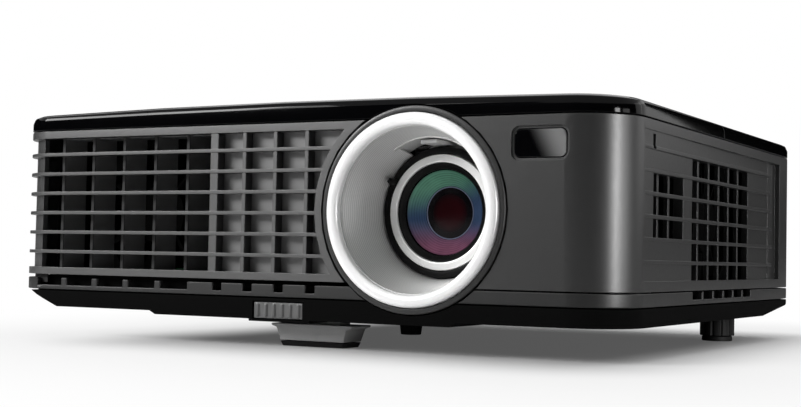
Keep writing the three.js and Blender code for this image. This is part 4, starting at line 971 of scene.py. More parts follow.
def rounded_plate(centre: Pair, size: Pair, radius: float, steps: int = 9) -> np.ndarray:
    """A rectangle with round corners.

    Args:
        centre: Its middle.
        size: Its width and depth.
        radius: The corner's radius.
        steps: How many points each corner has.

    Returns:
        Its outline.
    """
    half = np.array(size) / 2
    corner = np.array([[-1, -1], [1, -1], [1, 1], [-1, 1]]) * (half - radius)
    angle = np.radians(np.linspace(180, 270, steps))[None] + np.radians(90 * np.arange(4))[:, None]
    arc = radius * np.stack([np.cos(angle), np.sin(angle)], axis=-1)
    return (np.array(centre) + corner[:, None] + arc).reshape(-1, 2)


def circle(centre: Pair, radius: float, steps: int = 48) -> np.ndarray:
    """A circle as an outline."""
    angle = np.linspace(0, FULL_TURN, steps, endpoint=False)
    return np.array(centre) + radius * np.stack([np.cos(angle), np.sin(angle)], axis=-1)


# Pieces


RECORD = frame["record"]
BODY_OF = {node: body for body, nodes in RECORD["behaviour"]["bodies"].items() for node in nodes}

# Facets meet smoothly below one angle and become one facet below the other; points
# nearer than two thousandths of a millimetre are one point
SMOOTH_BELOW = math.radians(32)
FLAT_BELOW = math.radians(1.0)
SAME_POINT = 2e-6


def settle(mesh: bpy.types.Mesh, flat_below: float = 0.0) -> None:
    """Merges doubles, turns the faces outwards where no facets are joined, and shades what is
    nearly flat as smooth.

    Args:
        mesh: The mesh, changed in place.
        flat_below: Facets that meet at less than this angle become one, in radians.
    """
    work = bmesh.new()
    work.from_mesh(mesh)
    bmesh.ops.remove_doubles(work, verts=work.verts, dist=SAME_POINT)
    bmesh.ops.dissolve_degenerate(work, dist=SAME_POINT, edges=work.edges)
    if flat_below:
        bmesh.ops.dissolve_limit(
            work, angle_limit=flat_below, verts=work.verts, edges=work.edges
        )
        bmesh.ops.connect_verts_concave(work, faces=work.faces)
    else:
        bmesh.ops.recalc_face_normals(work, faces=work.faces)
    work.to_mesh(mesh)
    work.free()
    mesh.shade_smooth()
    mesh.set_sharp_from_angle(angle=SMOOTH_BELOW)


def round_edges(piece: bpy.types.Object, width: float, segments: int = 2) -> None:
    """Rounds the sharp edges of a piece and evens out its shading.

    Args:
        piece: The object.
        width: How far the rounding reaches from the edge, in millimetres.
        segments: How many facets it has.
    """
    bevel = piece.modifiers.new("rounded_edges", "BEVEL")
    bevel.width = width * MM
    bevel.segments = segments
    bevel.limit_method = "ANGLE"
    bevel.angle_limit = SMOOTH_BELOW
    bevel.use_clamp_overlap = False
    bevel.miter_outer = "MITER_ARC"
    even = piece.modifiers.new("even_shading", "WEIGHTED_NORMAL")
    even.mode = "FACE_AREA"
    even.weight = 80
    even.keep_sharp = False


def enrol(piece: bpy.types.Object, finish: Finish, nodes: tuple[str, ...]) -> bpy.types.Object:
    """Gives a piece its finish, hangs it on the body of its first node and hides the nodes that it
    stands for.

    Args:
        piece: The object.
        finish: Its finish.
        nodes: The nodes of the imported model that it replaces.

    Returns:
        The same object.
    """
    piece.data.materials.clear()
    piece.data.materials.append(finish.material())
    bpy.context.scene.collection.objects.link(piece)
    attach(piece, BODY_OF[nodes[0]])
    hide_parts(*nodes)
    log.info("%s: %d points, in %s", piece.name, len(piece.data.vertices), finish.name)
    return piece


def form(name: str, skin: Skin, finish: Finish, *nodes: str) -> bpy.types.Object:
    """Makes a piece from a surface.

    Args:
        name: The piece's name.
        skin: Its surface.
        finish: Its finish.
        *nodes: The nodes that it replaces, the one that it rides with first.

    Returns:
        The object.
    """
    mesh = bpy.data.meshes.new(name)
    mesh.from_pydata((skin.points * MM).tolist(), [], skin.faces)
    settle(mesh)
    return enrol(bpy.data.objects.new(name, mesh), finish, nodes)


def mould(
    name: str,
    node: str,
    finish: Finish,
    rounding: float = 0.3,
    segments: int = 2,
    flat_below: float = FLAT_BELOW,
) -> bpy.types.Object:
    """Makes a piece from a merged copy of a node, with its edges rounded.

    Args:
        name: The piece's name.
        node: The node that it replaces.
        finish: Its finish.
        rounding: The width of the rounding in millimetres.
        segments: The facets of the rounding.
        flat_below: Facets that meet at less than this angle become one, in radians.

    Returns:
        The object.
    """
    mesh = frame["nodes"][node].data.copy()
    mesh.name = name
    settle(mesh, flat_below)
    piece = enrol(bpy.data.objects.new(name, mesh), finish, (node,))
    round_edges(piece, rounding, segments)
    return piece


def dress(node: str, finish: Finish) -> None:
    """Gives a node that stays as it is its finish.

    Args:
        node: The node's name.
        finish: Its finish.
    """
    for held in frame["nodes"][node].material_slots:
        held.material = finish.material()
    log.info("%s: kept, in %s", node, finish.name)


# Finishes of this projector

LENS_CENTRE = (59.6, -118.5, 54.1)
PUPIL_RADIUS, COATED_RADIUS = 10.2, 16.7

CHARCOAL = MouldedPlastic("charcoal_casing", grey(28), 0.36, specular=0.6, grain=0.45, depth=0.008)
# Painted shade: the grille turns a darker grey behind its front edges, in its recesses
GRILLE_GREY = DepthShadedPlastic(
    "charcoal_grille", grey(16), 0.36, specular=0.9, grain=0.4, depth=0.006, edge_y=-117.9,
    edge=grey(54), from_x=-122.0,
)
BAND_GREY = MouldedPlastic("charcoal_band", grey(20), 0.4, specular=0.42, grain=0.45, depth=0.008)
LOUVRE_GREY = MouldedPlastic("louvre_grey", grey(94), 0.42, specular=0.9, grain=0.4, depth=0.008)
# Painted light and shade on the left louvres: darker front edges, and lighter plates behind them
# where little light reaches
LOUVRE_DARK = DepthShadedPlastic(
    "louvre_dark", grey(96), 0.55, specular=0.2, grain=0.4, depth=0.008, edge_y=-113.1,
    edge=grey(44),
)
PIANO_BLACK = Lacquer("piano_black", tone(4, 4, 5), 0.08, specular=0.1)
LEVER_GREY = MouldedPlastic("lever_grey", grey(196), 0.35, grain=0.3, depth=0.006)
TRAY_BLACK = MouldedPlastic("tray_black", grey(9), 0.7, specular=0.02, grain=0.6, depth=0.015)
BUTTON_GREY = MouldedPlastic("button_grey", grey(78), 0.42, specular=0.6, grain=0.5, depth=0.01)
FOOT_GREY = MouldedPlastic("foot_grey", grey(156), 0.5, grain=0.5, depth=0.012)
RING_BLACK = MouldedPlastic("ring_black", grey(5), 0.4, specular=0.14, grain=0.3, depth=0.006)
BEZEL_GREY = MouldedPlastic("bezel_grey", grey(26), 0.35, grain=0.3, depth=0.006)
MATT_BLACK = MouldedPlastic("matt_black", grey(11), 0.6, specular=0.3, grain=0.5, depth=0.015)
# Painted reflection: a pale slant across the dark window
WINDOW_BLACK = TintedPane(
    "infrared_window", tone(4, 4, 5), 0.05, specular=0.2, centre=(111.2, -118.5, 78.0),
    painted_reflection=grey(118),
)
CHROME = CastMetal("bright_chrome", (0.9, 0.9, 0.9), 0.32, 0.15, skin_depth=0.001, spread=0.04)
# Painted shade darkens the cone's side towards -X
SILVER = TurnedMetal(
    "turned_silver", (0.97, 0.97, 0.96), 0.42, 0.45, centre=LENS_CENTRE, pitch=0.78,
    ring_depth=0.01, shade=0.34, painted_side_shade=0.3,
)
TRIM_SILVER = TurnedMetal(
    "trim_silver", (0.86, 0.86, 0.85), 0.3, 0.4, centre=LENS_CENTRE, pitch=0.4, ring_depth=0.003
)
# The front glass, with painted reflections of its coating and a painted highlight round the pupil
COATING = CoatedGlass(
    "front_glass", tone(8, 7, 10), 0.16, specular=0.12, centre=LENS_CENTRE,
    inner=PUPIL_RADIUS, outer=COATED_RADIUS,
)
CELL_GLASS = DarkGlass(
    "cell_glass", tone(4, 4, 6), 0.05, centre=LENS_CENTRE, radius=15.0,
    depth_colour=tone(60, 8, 14),
)
CASTING = CastMetal("die_casting", tone(150, 152, 154), 0.5, 0.85, skin=0.8, skin_depth=0.05)
HEAT_SINK = CastMetal("heat_sink", tone(168, 168, 170), 0.4, 0.9, skin=0.5, skin_depth=0.02)
REFLECTOR = CastMetal("reflector_coat", tone(214, 218, 224), 0.1, 1.0, skin_depth=0.002)
STEEL = CastMetal("nickel_shell", tone(182, 184, 188), 0.26, 1.0, skin=0.4, skin_depth=0.004)
WHEEL_GLASS = CastMetal("colour_wheel_coat", tone(190, 206, 220), 0.08, 0.6, skin_depth=0.002)
SCREW_METAL = CastMetal("screw_metal", tone(160, 160, 162), 0.3, 1.0, skin=0.3, skin_depth=0.004)
RUBBER = MouldedPlastic("pad_rubber", grey(22), 0.85, specular=0.25, grain=0.7, depth=0.04)
BOARD = CircuitBoard("circuit_board", tone(24, 92, 48), 0.35)
SOCKET_BLUE = MouldedPlastic("socket_blue", tone(40, 84, 160), 0.35, grain=0.3, depth=0.004)
SOCKET_GREEN = MouldedPlastic("socket_green", tone(40, 142, 62), 0.35, grain=0.3, depth=0.004)
SOCKET_YELLOW = MouldedPlastic("socket_yellow", tone(218, 182, 30), 0.35, grain=0.3, depth=0.004)
INLET_BLACK = MouldedPlastic("inlet_black", grey(20), 0.4, grain=0.4, depth=0.008)
LIGHT_BARS = Lacquer("status_lights", tone(150, 186, 208), 0.2, specular=0.5)


# Sub-assemblies


@dataclass
class Casing:
    """The outer mouldings: covers, side panels, base band, tray and rear panel."""

    rounding: float = 0.35
    cover_rounding: float = 0.25
    rib_rounding: float = 0.13
    tray_rounding: float = 0.2
    screw_rounding: float = 0.15
    crown_flat_below: float = math.radians(0.1)
    # A dark sheet behind the left vents and seam: painted shade inside the case
    shade_sheet_middle: Triple = (-137.6, 0.5, 190.0)
    shade_sheet_y: float = 3.0
    shade_sheet_z: Pair = (22.5, 88.0)
    # A dark strip in the front left seam: painted shade
    stop_centre: Pair = (-123.0, -98.5)
    stop_radius: float = 17.0
    stop_half: Pair = (0.3, 2.4)
    stop_z: float = 25.2
    stop_steps: int = 13

    def build(self) -> None:
        """Makes and dresses the mouldings."""
        for name in ("top_cover", "lamp_cover"):
            mould(
                f"{name}_shell", name, PIANO_BLACK, self.cover_rounding,
                flat_below=self.crown_flat_below,
            )
        mould("right_panel_shell", "right_panel", CHARCOAL, self.rib_rounding)
        mould("left_panel_shell", "left_panel", CHARCOAL, self.rib_rounding)
        mould("base_band_ring", "base_band", BAND_GREY, self.rounding)
        mould("bottom_tray_shell", "bottom_tray", TRAY_BLACK, self.tray_rounding)
        mould("rear_panel_shell", "rear_panel", CHARCOAL, self.rounding)
        mould("lamp_screw_head", "lamp_cover_screw", SCREW_METAL, self.screw_rounding)
        # Painted shade: a dark sheet and a dark strip inside the case, behind its vents and seam
        form("left_vent_shade_sheet", self.shade_sheet(), MATT_BLACK, "left_panel")
        form("corner_seam_stop", self.seam_stop(), MATT_BLACK, "left_panel")

    def shade_sheet(self) -> Skin:
        """The dark sheet that hangs behind the left panel, vents and seam, as painted shade inside
        the case.

        Returns:
            A flat box with round upright edges.
        """
        middle, thick, length = self.shade_sheet_middle
        outline = rounded_plate((middle, self.shade_sheet_y), (thick, length), thick / 4)
        low, high = self.shade_sheet_z
        layers = np.array([(0, low), (1, low), (1, high), (0, high)], dtype=float)
        return stacked(outline, layers, (middle, self.shade_sheet_y))

    def seam_stop(self) -> Skin:
        """A dark strip that follows the front left corner inside the seam over the band, as
        painted shade in that seam.

        The middle of its section goes round the corner's centre at one radius, from
        the left side to the front.

        Returns:
            The strip.
        """
        half, tall = self.stop_half
        section = np.array([(-half, -tall), (half, -tall), (half, tall), (-half, tall)])
        angle = np.linspace(math.pi, 1.5 * math.pi, self.stop_steps)
        outward = np.stack([np.cos(angle), np.sin(angle), 0 * angle], axis=1)
        path = np.array([*self.stop_centre, self.stop_z]) + self.stop_radius * outward
        return carried(section, path, outward, np.tile([0.0, 0.0, 1.0], (len(angle), 1)))


@dataclass
class Grille:
    """The ribbed front grille and the slanted louvres behind it."""

    rounding: float = 0.13
    part_x: float = -36.0

    def build(self) -> None:
        """Makes and dresses the grille and both louvre packs."""
        mould("grille_frame", "front_grille", GRILLE_GREY, self.rounding)
        self.louvres("louvres_left", LOUVRE_DARK, -1)
        self.louvres("louvres_right", LOUVRE_GREY, 1)

    def louvres(self, name: str, finish: Finish, side: int) -> None:
        """Makes the louvres on one side of the parting plane.

        Args:
            name: The piece's name.
            finish: Its finish.
            side: -1 for the left of the plane, 1 for the right.
        """
        mesh = frame["nodes"]["exhaust_louvres"].data.copy()
        mesh.name = name
        work = bmesh.new()
        work.from_mesh(mesh)
        bmesh.ops.remove_doubles(work, verts=work.verts, dist=SAME_POINT)
        everything = work.verts[:] + work.edges[:] + work.faces[:]
        made = bmesh.ops.bisect_plane(
            work,
            geom=everything,
            plane_co=(self.part_x * MM, 0, 0),
            plane_no=(-side, 0, 0),
            clear_outer=True,
        )
        rim = [e for e in made["geom_cut"] if isinstance(e, bmesh.types.BMEdge)]
        bmesh.ops.edgeloop_fill(work, edges=rim)
        work.to_mesh(mesh)
        work.free()
        settle(mesh, FLAT_BELOW)
        piece = enrol(bpy.data.objects.new(name, mesh), finish, ("exhaust_louvres",))
        round_edges(piece, self.rounding)


@dataclass
class LensNest:
    """The rings round the lens, the lens itself and what turns in it."""

    x: float = LENS_CENTRE[0]
    front: float = LENS_CENTRE[1]
    z: float = LENS_CENTRE[2]
    rounding: float = 0.2
    bezel: Pair = (36.8, 39.0)
    bezel_proud: float = 1.0
    bezel_back: float = -109.5
    bezel_seat: float = 0.3
    chrome: Pair = (31.6, 36.5)
    chrome_back: float = -113.5
    chrome_proud: float = 3.0
    chrome_steps: int = 192
    arch_power: float = 0.45
    arch_steps: int = 25
    mouth: float = 31.3
    throat: float = 25.8
    wall: float = 0.8
    step: float = 31.4
    cone_sunk: float = 0.3
    cone_back: float = -93.6
    cone_steps: int = 288
    cone_rows: int = 121
    outside_every: int = 8
    groove_pitch: float = 1.04
    groove_depth: float = 0.1
    groove_fade: float = 1 / 25
    shroud: Pair = (28.1, 28.7)
    grip: Pair = (22.9, 25.5)
    focus_span: Pair = (-95.6, -88.8)
    focus_steps: int = 240
    focus_tab_angle: float = 150.0
    focus_tab_ahead: float = 4.0
    focus_tab_middle: float = 1.2
    zoom_tab_angle: float = 92.0
    zoom_sweep: float = 20.0
    zoom_tab_half: float = 4.1
    slot_front: float = -105.1
    liner_lap: float = 0.4
    liner_turn: float = 0.05
    liner_steps: int = 40
    trim: Pair = (19.4, 22.6)
    trim_span: Pair = (-96.0, -83.5)
    retainer: float = 16.9
    glass: float = 17.8
    glass_span: Pair = (-92.6, -87.1)
    coated: float = COATED_RADIUS
    pupil: float = PUPIL_RADIUS
    pupil_face: float = -87.7
    pupil_crown: float = 0.5
    pupil_steps: int = 9
    bowl_power: float = 0.8
    bowl_steps: int = 25

    @property
    def axis(self) -> Pair:
        """X and Z of the lens axis."""
        return self.x, self.z

    def build(self) -> None:
        """Makes and dresses every ring from the bezel inwards."""
        form("bezel_ring", lathe(self.bezel_profile(), self.axis), BEZEL_GREY, "lens_bezel")
        chrome = lathe(self.chrome_profile(), self.axis, self.chrome_steps)
        form("chrome_band", chrome, CHROME, "chrome_ring")
        form("grooved_cone", self.cone(), SILVER, "lens_cone")
        form("focus_grip", self.focus_grip(), RING_BLACK, "focus_ring")
        form("trim_band", lathe(self.trim_profile(), self.axis), TRIM_SILVER, "lens_trim_ring")
        form(
            "glass_retainer", lathe(self.retainer_profile(), self.axis), RING_BLACK,
            "lens_trim_ring",
        )
        form("front_glass", lathe(self.glass_profile(), self.axis), COATING, "front_lens")
        mould("zoom_grip", "zoom_ring", LEVER_GREY, self.rounding)
        mould("barrel_tube", "lens_barrel", MATT_BLACK, self.rounding)
        dress("zoom_lens_cell", CELL_GLASS)

    def bezel_profile(self) -> np.ndarray:
        """The dark ring's section: a flat face with both edges rounded.

        Returns:
            Radius and y of each point.
        """
        inner, outer = self.bezel
        face = self.front - self.bezel_proud
        back, seat = self.bezel_back, self.chrome_back + self.bezel_seat
        corners = [
            (inner, face), (outer, face), (outer, back),
            (self.step, back), (self.step, seat), (inner, seat),
        ]
        return soften(corners, [0.35, 0.8, 0.3, 0.2, 0.2, 0.2])

    def chrome_profile(self) -> np.ndarray:
        """The bright ring's section: an arch as high as a power of sin(a), on straight sides.

        Returns:
            Radius and y of each point.
        """
        inner, outer = self.chrome
        turn = np.linspace(0, math.pi, self.arch_steps)
        middle, half = (outer + inner) / 2, (outer - inner) / 2
        height = self.chrome_proud * np.sin(turn).clip(0) ** self.arch_power
        arch = np.stack([middle + half * np.cos(turn), self.front - height], axis=1)
        edge = [(inner, self.chrome_back), (outer, self.chrome_back)]
        return np.vstack([arch, edge])

    def cone(self) -> Skin:
        """The cone with its fine grooves, open at the back where the zoom tab swings.

        Along the cone the radius falls straight from mouth to throat, and a triangle
        wave of the groove's depth is taken out of the metal. Where the angle lies in
        the tab's sector every row behind the slot's front is drawn forward onto it, and
        a plain liner closes the slot from outside.

        Returns:
            The cone with its liner.
        """
        angle = np.linspace(0, FULL_TURN, self.cone_steps, endpoint=False)
        start = self.front + self.cone_sunk
        middle = math.radians(self.zoom_tab_angle)
        swing = math.radians(self.zoom_sweep) + math.atan2(self.zoom_tab_half, self.throat)
        off = np.abs((angle - middle + math.pi) % FULL_TURN - math.pi)
        last = np.where(off < swing, self.slot_front, self.cone_back)
        share = np.linspace(0, 1, self.cone_rows)
        y = np.minimum(start + share[None] * (self.cone_back - start), last[:, None])
        run = (y - start) / (self.cone_back - start)
        radius = self.mouth + run * (self.throat - self.mouth)
        wave = np.abs(((y - start) / self.groove_pitch) % 1 - 0.5) * 2
        fade = np.minimum(1, np.minimum(run, 1 - run) / self.groove_fade)
        inner = radius + wave * self.groove_depth * fade
        outside = slice(None, None, -self.outside_every)
        ring_r = np.concatenate([inner, radius[:, outside] + self.wall], axis=1)
        ring_y = np.concatenate([y, y[:, outside]], axis=1)
        points = np.stack(
            [
                self.x + ring_r * np.cos(angle)[:, None],
                ring_y,
                self.z + ring_r * np.sin(angle)[:, None],
            ],
            axis=-1,
        ).reshape(-1, 3)
        near, far = self.shroud
        lap, back = self.slot_front - self.liner_lap, self.cone_back
        liner = np.array([(near, lap), (near, back), (far, back), (far, lap)])
        reach = swing + self.liner_turn
        over_slot = lathe(liner, self.axis, self.liner_steps, (middle - reach, middle + reach))
        faces = grid_faces(self.cone_steps, ring_r.shape[1], ring=True, loop=True)
        return Skin(points, faces) + over_slot

    def focus_grip(self) -> Skin:
        """The focus ring: a turned ring with soft edges and one finger tab ahead of it.

        The tab's section is carried forward along Y and shrinks towards its tip.

        Returns:
            The ring with its tab.
        """
        inner, outer = self.grip
        front, back = self.focus_span
        section = soften(
            [(inner, front), (outer, front), (outer, back), (inner, back)], [0.3, 0.5, 0.3, 0.3]
        )
        ring = lathe(section, self.axis, self.focus_steps)
        tab_angle = math.radians(self.focus_tab_angle)
        outward = np.array([math.cos(tab_angle), 0, math.sin(tab_angle)])
        across = np.array([-math.sin(tab_angle), 0, math.cos(tab_angle)])
        section = soften([(-1.3, 0.15), (1.3, 0.15), (1.0, 2.4), (-1.0, 2.4)], 0.45)
        run = np.array([0.0, 0.25, 0.7, 4.6])
        grow = np.array([0.55, 0.85, 1.0, 1.0])[:, None]
        origin = np.array([self.x, 0, self.z]) + outward * inner
        path = origin + np.outer(run + front - self.focus_tab_ahead, [0, 1, 0])
        lift = self.focus_tab_middle
        tab = carried(section - [0, lift], path + outward * lift, across * grow, outward * grow)
        return ring + tab

    def trim_profile(self) -> np.ndarray:
        """The front lens cell: a bright flat face with rounded edges on a plain tube.

        Returns:
            Radius and y of each point.
        """
        inner, outer = self.trim
        front, back = self.trim_span
        corners = [(inner, front), (outer, front), (outer, back), (inner, back)]
        return soften(corners, [0.5, 0.7, 0.3, 0.3], 6)

    def retainer_profile(self) -> np.ndarray:
        """The black ring that holds the glass: two steps down from the bright face.

        Returns:
            Radius and y of each point.
        """
        outer, inner = self.trim[0] - 0.02, self.retainer
        top, foot = self.trim_span[0] + 0.9, self.glass_span[0] - 0.3
        middle = (outer + inner) / 2
        corners = [
            (outer, top), (outer, foot + 1.6), (self.glass + 0.1, foot + 1.6),
            (self.glass + 0.1, foot), (inner, foot), (inner, foot - 0.6),
            (middle, top + 0.9), (middle + 0.3, top + 0.5),
        ]
        return soften(corners, 0.2, 3)

    def glass_profile(self) -> np.ndarray:
        """The front glass: a flat back, a crowned pupil and a bowl round it.

        The bowl is y = front + depth (1 - s)^power, with s from 0 at the pupil to 1 at
        the coating's edge.

        Returns:
            Radius and y of each point.
        """
        front, back = self.glass_span
        share = np.linspace(0, 1, self.bowl_steps)
        radius = self.pupil + (self.coated - self.pupil) * share
        depth = (self.pupil_face - front) * (1 - share) ** self.bowl_power
        bowl = np.stack([radius, front + depth], axis=1)
        eye = np.linspace(0, self.pupil - 0.3, self.pupil_steps)
        crown = self.pupil_crown * (1 - (eye / self.pupil) ** 2)
        middle = np.stack([eye, self.pupil_face - crown], axis=1)
        rim = [(self.glass - 0.3, front + 0.1), (self.glass, front + 0.5), (self.glass, back)]
        return np.vstack([middle, bowl, rim, [(0, back)]])


@dataclass
class Keypad:
    """The sunk plate with its eight keys and the row of lights."""

    plate_top: float = 94.59
    proud: float = 1.0
    below: float = 1.4
    dish: float = 0.35
    rim: float = 0.55
    rim_steps: int = 5
    dish_steps: int = 9
    corner: float = 3.0
    plate_rounding: float = 0.2
    light_rounding: float = 0.12
    cap: MarkedKey = MarkedKey("key", tone(150, 151, 153), 0.3, 0.55, ink=grey(26))
    keys: dict[str, tuple[float, float, float, Sign]] = field(default_factory=lambda: {
        "key_power": (-62.0, 23.0, 12.0, Sign.POWER),
        "key_enter": (-30.0, 26.0, 11.0, Sign.ENTER),
        "key_up": (-30.0, 39.0, 10.0, Sign.UP),
        "key_down": (-30.0, 13.0, 10.0, Sign.DOWN),
        "key_left": (-43.0, 26.0, 10.0, Sign.LEFT),
        "key_right": (-17.0, 26.0, 10.0, Sign.RIGHT),
        "key_menu": (3.0, 35.0, 10.0, Sign.MENU),
        "key_source": (3.0, 17.0, 10.0, Sign.SOURCE),
    })

    def build(self) -> None:
        """Makes and dresses the plate, the keys and the lights."""
        mould("keypad_face", "keypad_plate", TRAY_BLACK, self.plate_rounding)
        mould("light_row", "status_lights", LIGHT_BARS, self.light_rounding)
        for node, (x, y, size, sign) in self.keys.items():
            if sign in (Sign.POWER, Sign.ENTER):
                outline = circle((x, y), size / 2)
            else:
                outline = rounded_plate((x, y), (size, size), self.corner)
            finish = replace(self.cap, name=f"{node}_finish", centre=(x, y, 0.0), sign=sign)
            skin = stacked(outline, self.layers(size / 2), (x, y))
            form(f"{node}_cap", skin, finish, node)

    def layers(self, half: float) -> np.ndarray:
        """The layers of one key: straight skirt, rounded rim and dished top.

        Args:
            half: Half the key's width.

        Returns:
            The share of the outline and the height of each layer.
        """
        top, bottom = self.plate_top + self.proud, self.plate_top - self.below
        turn = np.linspace(0, math.pi / 2, self.rim_steps)
        inward, down = self.rim * (1 - np.cos(turn)), self.rim * (1 - np.sin(turn))
        rim = np.stack([1 - inward / half, top - down], axis=1)
        share = np.linspace(rim[-1, 0], 0, self.dish_steps)[1:]
        bowl = top - self.dish * (1 - (share / rim[-1, 0]) ** 2)
        return np.vstack([[(0, bottom), (1, bottom)], rim, np.stack([share, bowl], axis=1)])


@dataclass
class Window:
    """The infrared window beside the lens."""

    rounding: float = 0.25
    facets: int = 3

    def build(self) -> None:
        """Makes and dresses the window."""
        mould("infrared_pane", "ir_window", WINDOW_BLACK, self.rounding, self.facets)


@dataclass
class Feet:
    """The elevator foot with its button, and the feet at the rear."""

    rounding: float = 0.35
    sole_rounding: float = 0.3
    tilt_rounding: float = 0.25
    rear_rounding: float = 0.4

    def build(self) -> None:
        """Makes and dresses the feet."""
        mould("elevator_block", "elevator_foot", FOOT_GREY, self.rounding)
        mould("elevator_sole", "elevator_pad", RUBBER, self.sole_rounding)
        mould("release_button", "elevator_button", BUTTON_GREY, self.rounding)
        mould("tilt_foot_post", "tilt_foot", MATT_BLACK, self.tilt_rounding)
        mould("tilt_wheel_rim", "tilt_wheel", MATT_BLACK, self.tilt_rounding)
        mould("rear_foot_block", "rear_left_foot", RUBBER, self.rear_rounding)


@dataclass
class RearBay:
    """The sockets in the sunk bay of the rear panel and the power inlet."""

    rounding: float = 0.15
    finishes: dict[str, Finish] = field(default_factory=lambda: {
        "usb_socket": STEEL, "hdmi_socket": STEEL, "vga_socket": SOCKET_BLUE,
        "s_video_socket": INLET_BLACK, "composite_socket": SOCKET_YELLOW,
        "audio_in_socket": SOCKET_BLUE, "audio_out_socket": SOCKET_GREEN,
        "power_inlet": INLET_BLACK,
    })

    def build(self) -> None:
        """Makes and dresses the sockets."""
        for node, finish in self.finishes.items():
            mould(f"{node}_body", node, finish, self.rounding)


@dataclass
class Interior:
    """What is inside the case and shows only through the vents."""

    finishes: dict[str, Finish] = field(default_factory=lambda: {
        "light_engine": CASTING, "imaging_heat_sink": HEAT_SINK,
        "colour_wheel_motor": CASTING, "colour_wheel": WHEEL_GLASS,
        "lamp_housing": MATT_BLACK, "lamp_reflector": REFLECTOR,
        "exhaust_fan_frame": TRAY_BLACK, "exhaust_fan_rotor": TRAY_BLACK,
        "intake_fan_frame": TRAY_BLACK, "intake_fan_rotor": TRAY_BLACK,
        "main_board": BOARD, "power_board": BOARD,
    })

    def build(self) -> None:
        """Dresses the nodes."""
        for node, finish in self.finishes.items():
            dress(node, finish)


# Studio


class Reach(Enum):
    """Which kind of shading a lamp lights."""

    BOTH = "both"
    MATT = "matt"
    GLOSS = "gloss"


